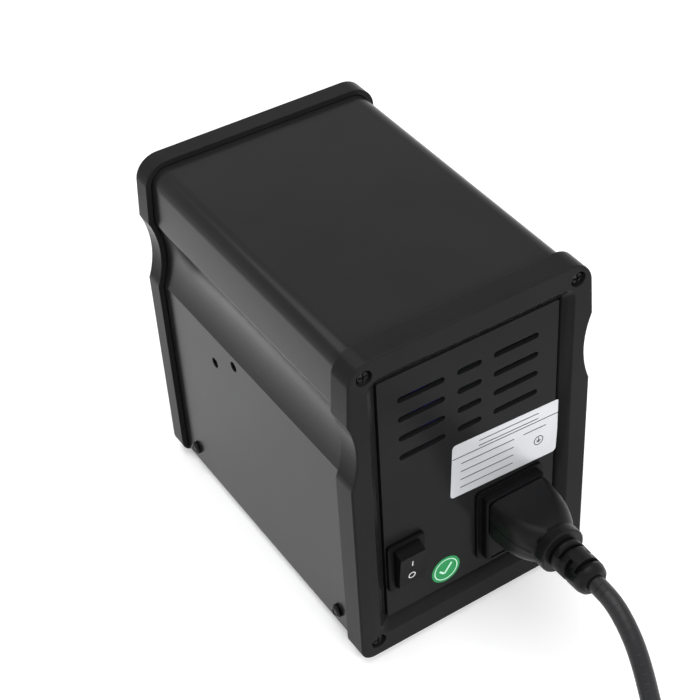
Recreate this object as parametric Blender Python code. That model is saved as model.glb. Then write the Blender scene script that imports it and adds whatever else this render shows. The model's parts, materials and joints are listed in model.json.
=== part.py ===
"""Hot air rework station, bench unit: a sheet-metal case between two moulded ends.

Metres, +Z up. The origin is on the bench, under the middle of the unit with its knobs.
The front panel faces -Y and the rear panel, with the mains inlet, faces +Y.
"""

import math

import bmesh
import bpy
from mathutils import Matrix, Vector

# Case, overall
CASE_W = 0.100
CASE_H = 0.140
CASE_D = 0.143
FOOT_STANDS = 0.003
GAP = 0.0003

# Section of the case. A scoop runs along each side, under the top
TOP_R = 0.0095
BOTTOM_R = 0.0045
SIDE_LEAN = 0.0009
SCOOP_UNDER_TOP = 0.0240
SCOOP_TALL = 0.0295
SCOOP_DEEP = 0.00285
EDGE_ROUND = 0.0006

# Sheet-metal cover and bottom tray
SHEET = 0.0010
COVER_INSET = 0.0024
COVER_LOW = 0.0021
TUCK = 0.0020
TRAY_SHEET = 0.0012
TRAY_LOW = 0.0016
TRAY_FLANGE = 0.0135
LIP_LOW = 0.0013
LIP_R = 0.0015

# Push-in feet
FOOT_R = 0.0060
FOOT_STEM_R = 0.0019
FOOT_INSET_X = 0.0140
FOOT_INSET_Y = 0.0180

# Moulded ends
FRONT_DEEP = 0.0080
REAR_DEEP = 0.0100

# Sunk field of the rear end: a sloped wall down to the rear panel, with an open joint round it
RECESS_DEEP = 0.0022
RECESS_MARGIN_X = 0.0080
RECESS_MARGIN_LOW = 0.0090
RECESS_MARGIN_TOP = 0.0087
RECESS_R = 0.0052
RECESS_SLOPE = 0.0037
REAR_PANEL = 0.0020
REAR_JOINT = 0.0013
REAR_LEDGE = 0.0009

# Screws at the corners of both ends and low on both sides
SCREW_IN = 0.0072
SCREW_LOW = 0.0068
SCREW_UNDER_TOP = 0.0062
SCREW_HEAD_R = 0.0027
SCREW_SHANK_R = 0.00135
SCREW_LONG = 0.0065
COUNTERBORE_R = 0.0031
COUNTERBORE_DEEP = 0.0026
SIDE_SCREW_Z = 0.0085
SIDE_SCREW_FROM_FRONT = 0.0172
SIDE_SCREW_FROM_REAR = 0.0198
SIDE_SCREW_LONG = 0.0060

# Cradle mounting holes on the case's right side: (behind the front, below the top) of each
CRADLE_HOLES = ((0.0445, 0.0668), (0.0597, 0.0580))
CRADLE_HOLE_R = 0.0021

# Vent slots in the rear panel: a short column between two long ones
VENT_SIDE = 0.0080
VENT_SHORT = 0.0101
VENT_APART = 0.00495
VENT_OFF_CENTRE = 0.0004
VENT_ROWS = 4
VENT_UNDER_TOP = 0.0250
VENT_PITCH = 0.0086
VENT_TALL = 0.0026

# Rocker switches, all of one type
SWITCH_W = 0.0154
SWITCH_H = 0.0226
SWITCH_FLANGE = 0.0020
SWITCH_BODY_W = 0.0130
SWITCH_BODY_H = 0.0202
SWITCH_BODY_DEEP = 0.0130
SWITCH_WELL_DEEP = 0.0080
ROCKER_W = 0.0104
ROCKER_R = 0.0091
ROCKER_TILT = math.radians(6.0)
ROCKER_PIVOT_IN = 0.0015
POWER_SWITCH_IN = 0.0210
POWER_SWITCH_Z = 0.0392

# Mains inlet with its fuse drawer
INLET_IN = 0.0337
INLET_W = 0.0294
INLET_H = 0.0340
INLET_Z = 0.0374
INLET_FLANGE = 0.0016
INLET_STANDS = 0.0055
SHROUD_W = 0.0260
SHROUD_H = 0.0310
INLET_BEHIND = 0.0180
PLUG_Z = 0.0435
SOCKET_W = 0.0242
SOCKET_H = 0.0162
SOCKET_DEEP = 0.0150
SOCKET_BEVEL = 0.0045
CARRIER = 0.0010
BLADE_W = 0.0020
BLADE_H = 0.0040
BLADE_LONG = 0.0107
BLADE_SPREAD = 0.0070
BLADE_EARTH_UP = 0.0030
DRAWER_W = 0.0220
DRAWER_H = 0.0080
DRAWER_Z = 0.0273
DRAWER_DEEP = 0.0150
DRAWER_LIP = 0.0012
FUSE_R = 0.0025
FUSE_LONG = 0.0195

# Mains lead: plug, strain relief and cord
NOSE_DEEP = 0.0137
GRIP_W = 0.0256
GRIP_H = 0.0190
GRIP_LONG = 0.0222
COLLAR_R = 0.0093
COLLAR_LONG = 0.0050
RELIEF_R = 0.0067
RELIEF_LONG = 0.0177
CORD_R = 0.0035
CORD_BEND_R = 0.0290

# Coil of the cord's spare length, on the bench behind the case
COIL_X = 0.0370
COIL_Y = 0.2440
COIL_ACROSS = 2
COIL_LAYERS = 3
COIL_MEAN_R = 0.0380
COIL_LIFT = 0.0014
COIL_STEPS = 28
TIE_WIDE = 0.0080
TIE_THICK = 0.0008
TIE_CLEAR = 0.0006
TIE_TURN = math.radians(75.0)

# Wall plug at the cord's far end, lying on the rims of its head and its tail
WALL_PLUG_X = 0.0785
WALL_PLUG_Y = 0.1800
WALL_TAIL_R = 0.0055
WALL_HEAD_R = 0.0185
WALL_HEAD_AT = 0.0400
WALL_PLUG_LONG = 0.0550
WALL_PIN_R = 0.0024
WALL_PIN_LONG = 0.0190
WALL_PIN_SPREAD = 0.0095

# Front panel. Its rows, from the top: windows, temperature knobs, switches and air knob, sockets
FRONT_SIDE = 0.0090
FRONT_LOW = 0.0110
FRONT_TOP = 0.0110
OPENING_R = 0.0040
LEDGE = 0.0025
LEDGE_WIDE = 0.0015
FASCIA = 0.0025
WINDOW_H = 0.0160
WINDOW_SIDE = 0.0045
WINDOW_APART = 0.0090
WINDOW_FLANGE = 0.0015
WINDOW_FLANGE_WIDE = 0.0015
WINDOW_PROUD = 0.0004
KNOB_R = 0.0085
KNOB_TALL = 0.0145
KNOB_FLUTES = 14
KNOB_FLUTE_DEEP = 0.0005
KNOB_SKIRT = 0.0022
KNOB_HOLLOW = 0.0042
KNOB_IN = 0.0190
SHAFT_R = 0.0030
SHAFT_BEHIND = 0.0090
BUSH_R = 0.0045
BUSH_STANDS = 0.0035
POT_R = 0.0080
POT_LONG = 0.0095
FRONT_SWITCH_IN = 0.0125
SOCKET_IN = 0.0215
SOCKET_PINS = {"air": 8, "iron": 5}
SOCKET_FLANGE_R = 0.0098
SOCKET_FLANGE = 0.0018
SOCKET_BARREL_R = 0.0078
SOCKET_BORE_R = 0.0060
SOCKET_STANDS = 0.0110
SOCKET_BEHIND = 0.0090
SOCKET_FLOOR = 0.0005
THREAD_START = 0.0040
THREAD_PITCH = 0.0015
THREAD_DEEP = 0.0005
THREADS = 4
PIN_CARRIER = 0.0011
PIN_CIRCLE_R = 0.0037
PIN_R = 0.0006
PIN_TALL = 0.0045

# Parts inside the case
BOARD_SIDE = 0.0080
BOARD_UNDER_TOP = 0.0292
BOARD_FROM_REAR = 0.0355
BOARD_THICK = 0.0016
BOARD_TAB = 0.0140
BOARD_TAB_WIDE = 0.0100
BOARD_TAB_IN = 0.0140
DISPLAY_TALL = 0.0045
CORE_W = 0.0500
CORE_D = 0.0250
CORE_H = 0.0420
CORE_LIMB = 0.0100
CORE_FROM_FRONT = 0.0495
WINDING_PROUD = 0.0060
CAPACITOR_X = 0.01075
CAPACITOR_W = 0.0065
CAPACITOR_H = 0.0145
CAPACITOR_UNDER_VENT = 0.0208
CAPACITOR_CLEAR = 0.0045
CAN_R = 0.0060
CAN_LONG = 0.0200
CAN_IN = 0.0180
CAN_Z = 0.0680
SINK_FINS = 6
SINK_PITCH = 0.0040
SINK_FIN = 0.0014
SINK_BASE = 0.0030
SINK_DEEP = 0.0130
SINK_TALL = 0.0300
SINK_IN = 0.0126
SINK_Z = 0.0200

# Worked out from the sizes above
FRONT_Y = -CASE_D / 2
REAR_Y = CASE_D / 2
KNOBS_REACH = KNOB_TALL - LEDGE - GAP
DRAWER_REACH = INLET_STANDS + DRAWER_LIP - RECESS_DEEP - 2 * GAP
CASE_Y = (KNOBS_REACH - DRAWER_REACH) / 2
PANEL_Y = REAR_Y - RECESS_DEEP - GAP
FASCIA_Y = FRONT_Y + LEDGE + GAP
BASE = FOOT_STANDS
TRAY_TOP = BASE + TRAY_LOW + TRAY_SHEET
COVER_FRONT = FRONT_Y + FRONT_DEEP - TUCK
COVER_REAR = REAR_Y - REAR_DEEP + TUCK
SCOOP_HIGH = CASE_H - SCOOP_UNDER_TOP
SCOOP_LOW = SCOOP_HIGH - SCOOP_TALL
SCREW_X = CASE_W / 2 - SCREW_IN
SCREW_TOP = CASE_H - SCREW_UNDER_TOP
VENT_TOP = CASE_H - VENT_UNDER_TOP
PANEL_HALF_W = CASE_W / 2 - RECESS_MARGIN_X - RECESS_SLOPE - REAR_JOINT
VENT_LONG = PANEL_HALF_W - VENT_SIDE - VENT_SHORT / 2 - VENT_APART
VENT_COLUMN_PITCH = PANEL_HALF_W - VENT_SIDE - VENT_LONG / 2
POWER_SWITCH_X = CASE_W / 2 - POWER_SWITCH_IN
INLET_X = INLET_IN - CASE_W / 2
COIL_HALF_W = COIL_ACROSS * CORD_R
COIL_TALL = COIL_LAYERS * 2 * CORD_R
COIL_FLAT_R = (COIL_MEAN_R + COIL_HALF_W) * math.cos(math.pi / COIL_STEPS)
COIL_MEETS = math.sqrt((COIL_FLAT_R + GAP) ** 2 - COIL_MEAN_R**2)

# The front panel's rows stand evenly in its opening
OPENING_W = CASE_W - 2 * FRONT_SIDE
OPENING_H = CASE_H - FRONT_LOW - FRONT_TOP
WINDOW_W = (OPENING_W - 2 * WINDOW_SIDE - WINDOW_APART) / 2
WINDOW_X = (WINDOW_W + WINDOW_APART) / 2
ROW_HEIGHTS = (2 * SOCKET_FLANGE_R, SWITCH_H, 2 * KNOB_R, WINDOW_H + 2 * WINDOW_FLANGE_WIDE)
ROW_SPACE = (OPENING_H - sum(ROW_HEIGHTS)) / (len(ROW_HEIGHTS) + 1)
ROWS = [
    FRONT_LOW + (i + 1) * ROW_SPACE + sum(ROW_HEIGHTS[:i]) + ROW_HEIGHTS[i] / 2
    for i in range(len(ROW_HEIGHTS))
]
SOCKET_Z, SWITCH_Z, KNOB_Z, WINDOW_Z = ROWS
KNOB_X = OPENING_W / 2 - KNOB_IN
KNOBS = {"air_temp": (-KNOB_X, KNOB_Z), "iron_temp": (KNOB_X, KNOB_Z), "airflow": (0.0, SWITCH_Z)}
FRONT_SWITCH_X = OPENING_W / 2 - FRONT_SWITCH_IN
FRONT_SWITCHES = {"air": (-FRONT_SWITCH_X, SWITCH_Z), "iron": (FRONT_SWITCH_X, SWITCH_Z)}
SOCKET_X = OPENING_W / 2 - SOCKET_IN
SOCKETS = {"air": (-SOCKET_X, SOCKET_Z), "iron": (SOCKET_X, SOCKET_Z)}

STEPS = 4


def material(name, hex_colour, roughness, metallic=0.0):
    """A Principled BSDF from an sRGB hex colour."""
    mat = bpy.data.materials.new(name)
    mat.use_nodes = True
    shader = mat.node_tree.nodes["Principled BSDF"]
    channels = [int(hex_colour[i : i + 2], 16) / 255 for i in (0, 2, 4)]
    linear = [c / 12.92 if c <= 0.04045 else ((c + 0.055) / 1.055) ** 2.4 for c in channels]
    shader.inputs["Base Color"].default_value = (*linear, 1.0)
    shader.inputs["Roughness"].default_value = roughness
    shader.inputs["Metallic"].default_value = metallic
    return mat


def add_object(name, bm, mat, location=(0, 0, 0), turn=None, sharp=35):
    """Makes the object of a bmesh and puts it in the scene. Edges over the sharp angle stay sharp."""
    bmesh.ops.recalc_face_normals(bm, faces=bm.faces)
    mesh = bpy.data.meshes.new(name)
    bm.to_mesh(mesh)
    bm.free()
    mesh.materials.append(mat)
    mesh.shade_smooth()
    mesh.set_sharp_from_angle(angle=math.radians(sharp))
    obj = bpy.data.objects.new(name, mesh)
    obj.location = location
    if turn is not None:
        obj.rotation_euler = turn.to_euler()
    bpy.context.scene.collection.objects.link(obj)
    return obj


def arc(centre, radius, start, end, steps):
    """Points on an arc, angles in degrees, both ends included."""
    angles = [math.radians(start + (end - start) * i / steps) for i in range(steps + 1)]
    return [(centre[0] + radius * math.cos(a), centre[1] + radius * math.sin(a)) for a in angles]


def rounded(width, height, radius, centre=(0, 0), steps=STEPS, bevel_top=0.0):
    """A rectangle with round corners, anticlockwise. bevel_top makes its two top corners flat cuts."""
    points = []
    corners = ((1, -1, -90), (1, 1, 0), (-1, 1, 90), (-1, -1, 180))
    for side, up, start in corners:
        flat = bevel_top if up > 0 and bevel_top else radius
        middle = (centre[0] + side * (width / 2 - flat), centre[1] + up * (height / 2 - flat))
        corner = arc(middle, flat, start, start + 90, steps)
        if up > 0 and bevel_top:
            (ax, ay), (bx, by) = corner[0], corner[-1]
            shares = [i / steps for i in range(steps + 1)]
            corner = [(ax + (bx - ax) * t, ay + (by - ay) * t) for t in shares]
        points += corner
    return points


def circle(radius, count, centre=(0, 0)):
    return arc(centre, radius, 0, 360, count)[:-1]


def wall_path(inset, low):
    """The case's wall in section, from low on the right, over the top, to low on the left."""
    half = CASE_W / 2 - inset
    top = CASE_H - inset
    radius = TOP_R - inset
    chord = SCOOP_HIGH - SCOOP_LOW
    scoop_r = (chord**2 / 4 + SCOOP_DEEP**2) / (2 * SCOOP_DEEP)
    middle = (half - SCOOP_DEEP + scoop_r, (SCOOP_LOW + SCOOP_HIGH) / 2)
    sweep = math.degrees(math.asin(chord / 2 / scoop_r))
    right = [(half, low)]
    right += arc(middle, scoop_r, 180 + sweep, 180 - sweep, 12)
    right += arc((half - SIDE_LEAN - radius, top - radius), radius, 0, 90, 12)
    return right + [(-x, z) for x, z in reversed(right)]


def case_outline(inset=0.0, low=0.0, low_r=BOTTOM_R):
    """The case's whole section, closed along the bottom with two round corners."""
    half = CASE_W / 2 - inset
    right = arc((half - low_r, low + low_r), low_r, -90, 0, STEPS + 1)[:-1]
    return right + wall_path(inset, low + low_r) + [(-x, z) for x, z in reversed(right)]


def loft(sections):
    """A bmesh solid through (distance along +Y, outline in X and Z) sections of equal point counts."""
    bm = bmesh.new()
    rings = [[bm.verts.new((x, y, z)) for x, z in outline] for y, outline in sections]
    count = len(rings[0])
    for near, far in zip(rings, rings[1:]):
        for i in range(count):
            j = (i + 1) % count
            bm.faces.new((near[i], near[j], far[j], far[i]))
    bm.faces.new(rings[0])
    bm.faces.new(rings[-1])
    bmesh.ops.remove_doubles(bm, verts=bm.verts, dist=1e-7)
    return bm


def prism(outline, near, far):
    return loft([(near, outline), (far, outline)])


def turned(profile, steps=24, closed=False):
    """A bmesh turned about +Y from (radius, distance along +Y) points."""
    bm = bmesh.new()
    verts = [bm.verts.new((r, y, 0)) for r, y in profile]
    pairs = list(zip(verts, verts[1:]))
    if closed:
        pairs.append((verts[-1], verts[0]))
    edges = [bm.edges.new(pair) for pair in pairs]
    whole_turn = {"angle": math.tau, "steps": steps, "use_merge": True}
    bmesh.ops.spin(bm, geom=verts + edges, axis=(0, 1, 0), cent=(0, 0, 0), **whole_turn)
    bmesh.ops.remove_doubles(bm, verts=bm.verts, dist=1e-6)
    return bm


def block(low, high):
    """A bmesh box between two corners."""
    bm = bmesh.new()
    size = Vector(high) - Vector(low)
    middle = (Vector(high) + Vector(low)) / 2
    bmesh.ops.create_cube(bm, size=1.0, matrix=Matrix.Translation(middle) @ Matrix.Diagonal((*size, 1)))
    return bm


def merged(parts):
    """One bmesh of several, left as separate shells."""
    whole = bmesh.new()
    for part in parts:
        mesh = bpy.data.meshes.new("joined")
        part.to_mesh(mesh)
        part.free()
        whole.from_mesh(mesh)
        bpy.data.meshes.remove(mesh)
    return whole


def boolean(target, bm, operation, location=None, turn=None):
    """Cuts from the target, or joins to it, a shape given in world axes or at a place of its own."""
    tool = add_object(f"{target.name}_tool", bm, target.data.materials[0], location or (0, 0, 0), turn)
    tool.hide_render = True
    tool.display_type = "WIRE"
    modifier = target.modifiers.new(operation.title(), "BOOLEAN")
    modifier.operation = operation
    modifier.object = tool
    return target


def cut(target, bm, **place):
    return boolean(target, bm, "DIFFERENCE", **place)


def join(target, bm, **place):
    return boolean(target, bm, "UNION", **place)


def smooth_route(points, spacing):
    """Points at an even spacing along a smooth curve through the route's own points."""
    knots = [Vector(p) for p in points]
    knots = [2 * knots[0] - knots[1], *knots, 2 * knots[-1] - knots[-2]]
    fine = []
    for a, b, c, d in zip(knots, knots[1:], knots[2:], knots[3:]):
        for i in range(24):
            t = i / 24
            linear = 2 * b + (c - a) * t
            square = (2 * a - 5 * b + 4 * c - d) * t**2
            cube = (3 * b - a - 3 * c + d) * t**3
            fine.append((linear + square + cube) / 2)
    fine.append(knots[-2])
    total = sum((q - p).length for p, q in zip(fine, fine[1:]))
    count = max(2, round(total / spacing))
    kept = [fine[0]]
    walked = 0.0
    for p, q in zip(fine, fine[1:]):
        walked += (q - p).length
        if walked >= total * len(kept) / count and len(kept) < count:
            kept.append(q)
    return kept + [fine[-1]]


def cord_tube(name, points, mat):
    """A round tube along a route, as a curve with a bevel and closed ends."""
    curve = bpy.data.curves.new(name, "CURVE")
    curve.dimensions = "3D"
    curve.bevel_depth = CORD_R
    curve.bevel_resolution = 3
    curve.use_fill_caps = True
    spline = curve.splines.new("POLY")
    spline.points.add(len(points) - 1)
    for point, place in zip(spline.points, points):
        point.co = (*place, 1.0)
    curve.materials.append(mat)
    obj = bpy.data.objects.new(name, curve)
    bpy.context.scene.collection.objects.link(obj)
    return obj


FACING_FRONT = Matrix.Rotation(math.pi, 4, "Z")
FACING_REAR = Matrix.Identity(4)
FACING_RIGHT = Matrix.Rotation(-math.pi / 2, 4, "Z")
FACING_LEFT = Matrix.Rotation(math.pi / 2, 4, "Z")


def side_screw_places():
    """(name ending, side, y) of the four screws low on the case's sides."""
    along = {"front": FRONT_Y + SIDE_SCREW_FROM_FRONT, "rear": REAR_Y - SIDE_SCREW_FROM_REAR}
    return [
        (f"{side_name}_{end}", side, y)
        for side_name, side in (("right", 1), ("left", -1))
        for end, y in along.items()
    ]


def corner_places():
    """(name ending, x, height) of the four corner screws of a moulded end."""
    return [
        (f"{level}_{side_name}", side * SCREW_X, height)
        for level, height in (("top", SCREW_TOP), ("low", SCREW_LOW))
        for side_name, side in (("left", -1), ("right", 1))
    ]


def cover_shell(mat):
    """The folded cover: top and two sides in one sheet, with a groove pressed along each side."""
    outer = wall_path(COVER_INSET, COVER_LOW)
    inner = wall_path(COVER_INSET + SHEET, COVER_LOW)
    sheet = prism(outer + inner[::-1], COVER_FRONT, COVER_REAR)
    obj = add_object("cover_shell", sheet, mat, (0, 0, BASE), sharp=20)
    through = SHEET * 4
    side = CASE_W / 2 - COVER_INSET
    holes = []
    for _, sign, y in side_screw_places():
        holes.append((sign * side, y, SIDE_SCREW_Z, SCREW_SHANK_R + 0.0004))
    for behind, below in CRADLE_HOLES:
        holes.append((side, FRONT_Y + behind, CASE_H - below, CRADLE_HOLE_R))
    for x, y, z, radius in holes:
        drill = prism(circle(radius, 16), -through, through)
        cut(obj, drill, location=(x, y, BASE + z), turn=FACING_RIGHT)
    return obj


def chassis_tray(mat):
    """The bottom tray: a floor with a low flange on each side and two tabs that hold the board."""
    half = CASE_W / 2 - COVER_INSET - SHEET - GAP
    low = TRAY_LOW
    flange = low + TRAY_FLANGE
    inner = half - TRAY_SHEET
    floor = low + TRAY_SHEET
    outline = [(half, low), (half, flange), (inner, flange), (inner, floor)]
    outline += [(-inner, floor), (-inner, flange), (-half, flange), (-half, low)]
    obj = add_object("chassis_tray", prism(outline, COVER_FRONT, COVER_REAR), mat, (0, 0, BASE))
    for _, sign, y in side_screw_places():
        drill = prism(circle(SCREW_SHANK_R + GAP, 16), -0.004, 0.004)
        cut(obj, drill, location=(sign * half, y, BASE + SIDE_SCREW_Z), turn=FACING_RIGHT)
    for x, y in foot_places():
        drill = prism(circle(FOOT_STEM_R + GAP, 12), -0.004, 0.004)
        cut(obj, drill, location=(x, y, TRAY_TOP), turn=Matrix.Rotation(math.pi / 2, 4, "X"))
    near = REAR_Y - BOARD_FROM_REAR + BOARD_THICK + GAP
    for side in (-1, 1):
        x = side * (CASE_W / 2 - BOARD_SIDE - BOARD_TAB_IN)
        low = (x - BOARD_TAB_WIDE / 2, near, TRAY_TOP - TRAY_SHEET / 2)
        join(obj, block(low, (x + BOARD_TAB_WIDE / 2, near + TRAY_SHEET, TRAY_TOP + BOARD_TAB)))
    return obj


def foot_places():
    x, y = CASE_W / 2 - FOOT_INSET_X, CASE_D / 2 - FOOT_INSET_Y
    return [(-x, -y), (x, -y), (-x, y), (x, y)]


def feet(mat):
    """Four push-in rubber feet: a tapered pad, and a stem with a barbed head through the tray."""
    under = TRAY_TOP - TRAY_SHEET - GAP
    profile = [(0, 0), (FOOT_R * 0.82, 0), (FOOT_R, 0.0010), (FOOT_R, under), (FOOT_STEM_R, under)]
    profile += [(FOOT_STEM_R, TRAY_TOP + GAP), (FOOT_STEM_R * 1.6, TRAY_TOP + GAP)]
    profile += [(FOOT_STEM_R * 0.7, TRAY_TOP + 0.003), (0, TRAY_TOP + 0.003)]
    upright = Matrix.Rotation(math.pi / 2, 4, "X")
    for number, (x, y) in enumerate(foot_places(), 1):
        add_object(f"foot_{number}", turned(profile, 16), mat, (x, y, 0), upright)


def screw(name, mat, location, turn, length):
    """A round-head cross-recess screw that points its head along its own +Y."""
    r = SCREW_HEAD_R
    shank = SCREW_SHANK_R
    profile = [(0, -length), (shank * 0.5, -length), (shank, -length + 0.001), (shank, 0)]
    profile += [(r, 0), (r, r * 0.28), (r * 0.75, r * 0.54), (0, r * 0.66)]
    obj = add_object(name, turned(profile, 12), mat, location, turn)
    arm, half = r * 0.62, r * 0.13
    cross = [(arm, -half), (arm, half), (half, half), (half, arm), (-half, arm), (-half, half)]
    cross += [(-arm, half), (-arm, -half), (-half, -half), (-half, -arm), (half, -arm), (half, -half)]
    return cut(obj, prism(cross, r * 0.3, r), location=location, turn=turn)


def cover_screws(mat):
    side = CASE_W / 2 - COVER_INSET + GAP
    for ending, sign, y in side_screw_places():
        turn = FACING_RIGHT if sign > 0 else FACING_LEFT
        screw(f"cover_screw_{ending}", mat, (sign * side, y, BASE + SIDE_SCREW_Z), turn, SIDE_SCREW_LONG)


def corner_screws(prefix, mat, y, turn):
    for ending, x, height in corner_places():
        screw(f"{prefix}_{ending}", mat, (x, y, BASE + height), turn, SCREW_LONG)


def end_blank(name, mat, face_y, back_y):
    """The moulded end before its cuts, with a rounded edge round its face and a rebate for the cover."""
    toward = 1 if back_y > face_y else -1
    sections = [(face_y, case_outline(EDGE_ROUND))]
    sections += [(face_y + toward * EDGE_ROUND * 0.3, case_outline(EDGE_ROUND * 0.3))]
    sections += [(face_y + toward * EDGE_ROUND, case_outline()), (back_y, case_outline())]
    obj = add_object(name, loft(sections), mat, (0, 0, BASE), sharp=20)
    rebate = case_outline(COVER_INSET - GAP, LIP_LOW, LIP_R)
    depth = toward * (TUCK + GAP)
    cut(obj, prism(rebate, back_y - depth, back_y + depth), location=(0, 0, BASE))
    for _, x, height in corner_places():
        mouth = face_y - toward * 0.001
        step = face_y + toward * COUNTERBORE_DEEP
        end = back_y + toward * 0.001
        hole = SCREW_SHANK_R + GAP
        seat = [(0, mouth), (COUNTERBORE_R, mouth), (COUNTERBORE_R, step)]
        seat += [(hole, step), (hole, end), (0, end)]
        cut(obj, turned(seat, 20), location=(x, 0, BASE + height))
    return obj


def recess_outline(shrink):
    """The sunk field's edge, drawn in by an amount: the slope's width gives the edge of its foot."""
    width = CASE_W - 2 * RECESS_MARGIN_X - 2 * shrink
    height = CASE_H - RECESS_MARGIN_LOW - RECESS_MARGIN_TOP - 2 * shrink
    middle = (CASE_H + RECESS_MARGIN_LOW - RECESS_MARGIN_TOP) / 2
    return rounded(width, height, max(RECESS_R - shrink, 0.0008), (0, middle), 7)


def rear_frame(mat):
    """The rear frame: a sloped wall, a seat sunk for the rear panel, and a ledge that carries it."""
    obj = end_blank("rear_frame", mat, REAR_Y, REAR_Y - REAR_DEEP)
    past = 0.001
    grow = RECESS_SLOPE / RECESS_DEEP * past
    ledge = PANEL_Y - REAR_PANEL - GAP
    foot = recess_outline(RECESS_SLOPE)
    field = [(REAR_Y + past, recess_outline(-grow)), (REAR_Y - RECESS_DEEP, foot), (ledge, foot)]
    cut(obj, loft(field), location=(0, 0, BASE))
    inside = recess_outline(RECESS_SLOPE + REAR_JOINT + REAR_LEDGE)
    return cut(obj, prism(inside, REAR_Y - REAR_DEEP - past, ledge + past), location=(0, 0, BASE))


def switch_cutout(place):
    return rounded(SWITCH_BODY_W + 2 * GAP, SWITCH_BODY_H + 2 * GAP, 0.001, place)


def rear_panel(mat):
    """The flat rear panel, with its vent slots and its cut-outs for the power switch and the inlet."""
    near = PANEL_Y - REAR_PANEL
    plate = prism(recess_outline(RECESS_SLOPE + REAR_JOINT), near, PANEL_Y)
    obj = add_object("rear_panel", plate, mat, (0, 0, BASE))
    columns = ((-VENT_COLUMN_PITCH, VENT_LONG), (0, VENT_SHORT), (VENT_COLUMN_PITCH, VENT_LONG))
    outlines = []
    for x, length in columns:
        for row in range(VENT_ROWS):
            middle = (x + VENT_OFF_CENTRE, VENT_TOP - row * VENT_PITCH)
            outlines.append(rounded(length, VENT_TALL, VENT_TALL / 2 * 0.999, middle, 3))
    outlines.append(switch_cutout((POWER_SWITCH_X, POWER_SWITCH_Z)))
    outlines.append(rounded(SHROUD_W + 2 * GAP, SHROUD_H + 2 * GAP, 0.002, (INLET_X, INLET_Z)))
    holes = merged([prism(outline, near - 0.001, PANEL_Y + 0.001) for outline in outlines])
    return cut(obj, holes, location=(0, 0, BASE))


def front_bezel(mat):
    """The front frame, with a ledge that holds the front panel from behind."""
    back = FRONT_Y + FRONT_DEEP
    obj = end_blank("front_bezel", mat, FRONT_Y, back)
    middle = (0, FRONT_LOW + OPENING_H / 2)
    window = rounded(OPENING_W, OPENING_H, OPENING_R, middle)
    cut(obj, prism(window, FRONT_Y - 0.001, back), location=(0, 0, BASE))
    pocket = rounded(OPENING_W + 2 * LEDGE_WIDE, OPENING_H + 2 * LEDGE_WIDE, OPENING_R, middle)
    cut(obj, prism(pocket, FRONT_Y + LEDGE, back + 0.001), location=(0, 0, BASE))
    return obj


def fascia(mat):
    """The front panel plate with its cut-outs."""
    size = 2 * (LEDGE_WIDE - GAP)
    middle = (0, FRONT_LOW + OPENING_H / 2)
    plate = rounded(OPENING_W + size, OPENING_H + size, OPENING_R - GAP, middle)
    obj = add_object("fascia", prism(plate, FASCIA_Y, FASCIA_Y + FASCIA), mat, (0, 0, BASE))
    outlines = [rounded(WINDOW_W, WINDOW_H, 0.001, (side * WINDOW_X, WINDOW_Z)) for side in (-1, 1)]
    outlines += [circle(BUSH_R + GAP, 20, place) for place in KNOBS.values()]
    outlines += [switch_cutout(place) for place in FRONT_SWITCHES.values()]
    outlines += [circle(SOCKET_BARREL_R + GAP, 24, place) for place in SOCKETS.values()]
    cuts = [prism(outline, FASCIA_Y - 0.001, FASCIA_Y + FASCIA + 0.001) for outline in outlines]
    return cut(obj, merged(cuts), location=(0, 0, BASE))


def display_windows(mat):
    """Two tinted windows, each held by a flange behind the front panel."""
    for name, side in (("air", -1), ("iron", 1)):
        front = rounded(WINDOW_W - 2 * GAP, WINDOW_H - 2 * GAP, 0.0008)
        wide = 2 * WINDOW_FLANGE_WIDE
        flange = rounded(WINDOW_W + wide, WINDOW_H + wide, 0.001)
        back = FASCIA_Y + FASCIA + GAP
        sections = [(FASCIA_Y - WINDOW_PROUD, front), (back, front)]
        sections += [(back, flange), (back + WINDOW_FLANGE, flange)]
        add_object(f"display_window_{name}", loft(sections), mat, (side * WINDOW_X, 0, BASE + WINDOW_Z))


def display_board(mat):
    """The board behind both windows, with a block for the digits of each."""
    front = FASCIA_Y + FASCIA + WINDOW_FLANGE + 2 * GAP
    near = front + DISPLAY_TALL
    half = WINDOW_X + WINDOW_W / 2
    tall = WINDOW_H / 2 + WINDOW_FLANGE_WIDE
    z = BASE + WINDOW_Z
    plate = block((-half, near, z - tall), (half, near + BOARD_THICK, z + tall))
    obj = add_object("display_board", plate, mat)
    reach, up = WINDOW_W * 0.44, WINDOW_H * 0.40
    for x in (-WINDOW_X, WINDOW_X):
        join(obj, block((x - reach, front, z - up), (x + reach, near + BOARD_THICK / 2, z + up)))
    return obj


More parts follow.
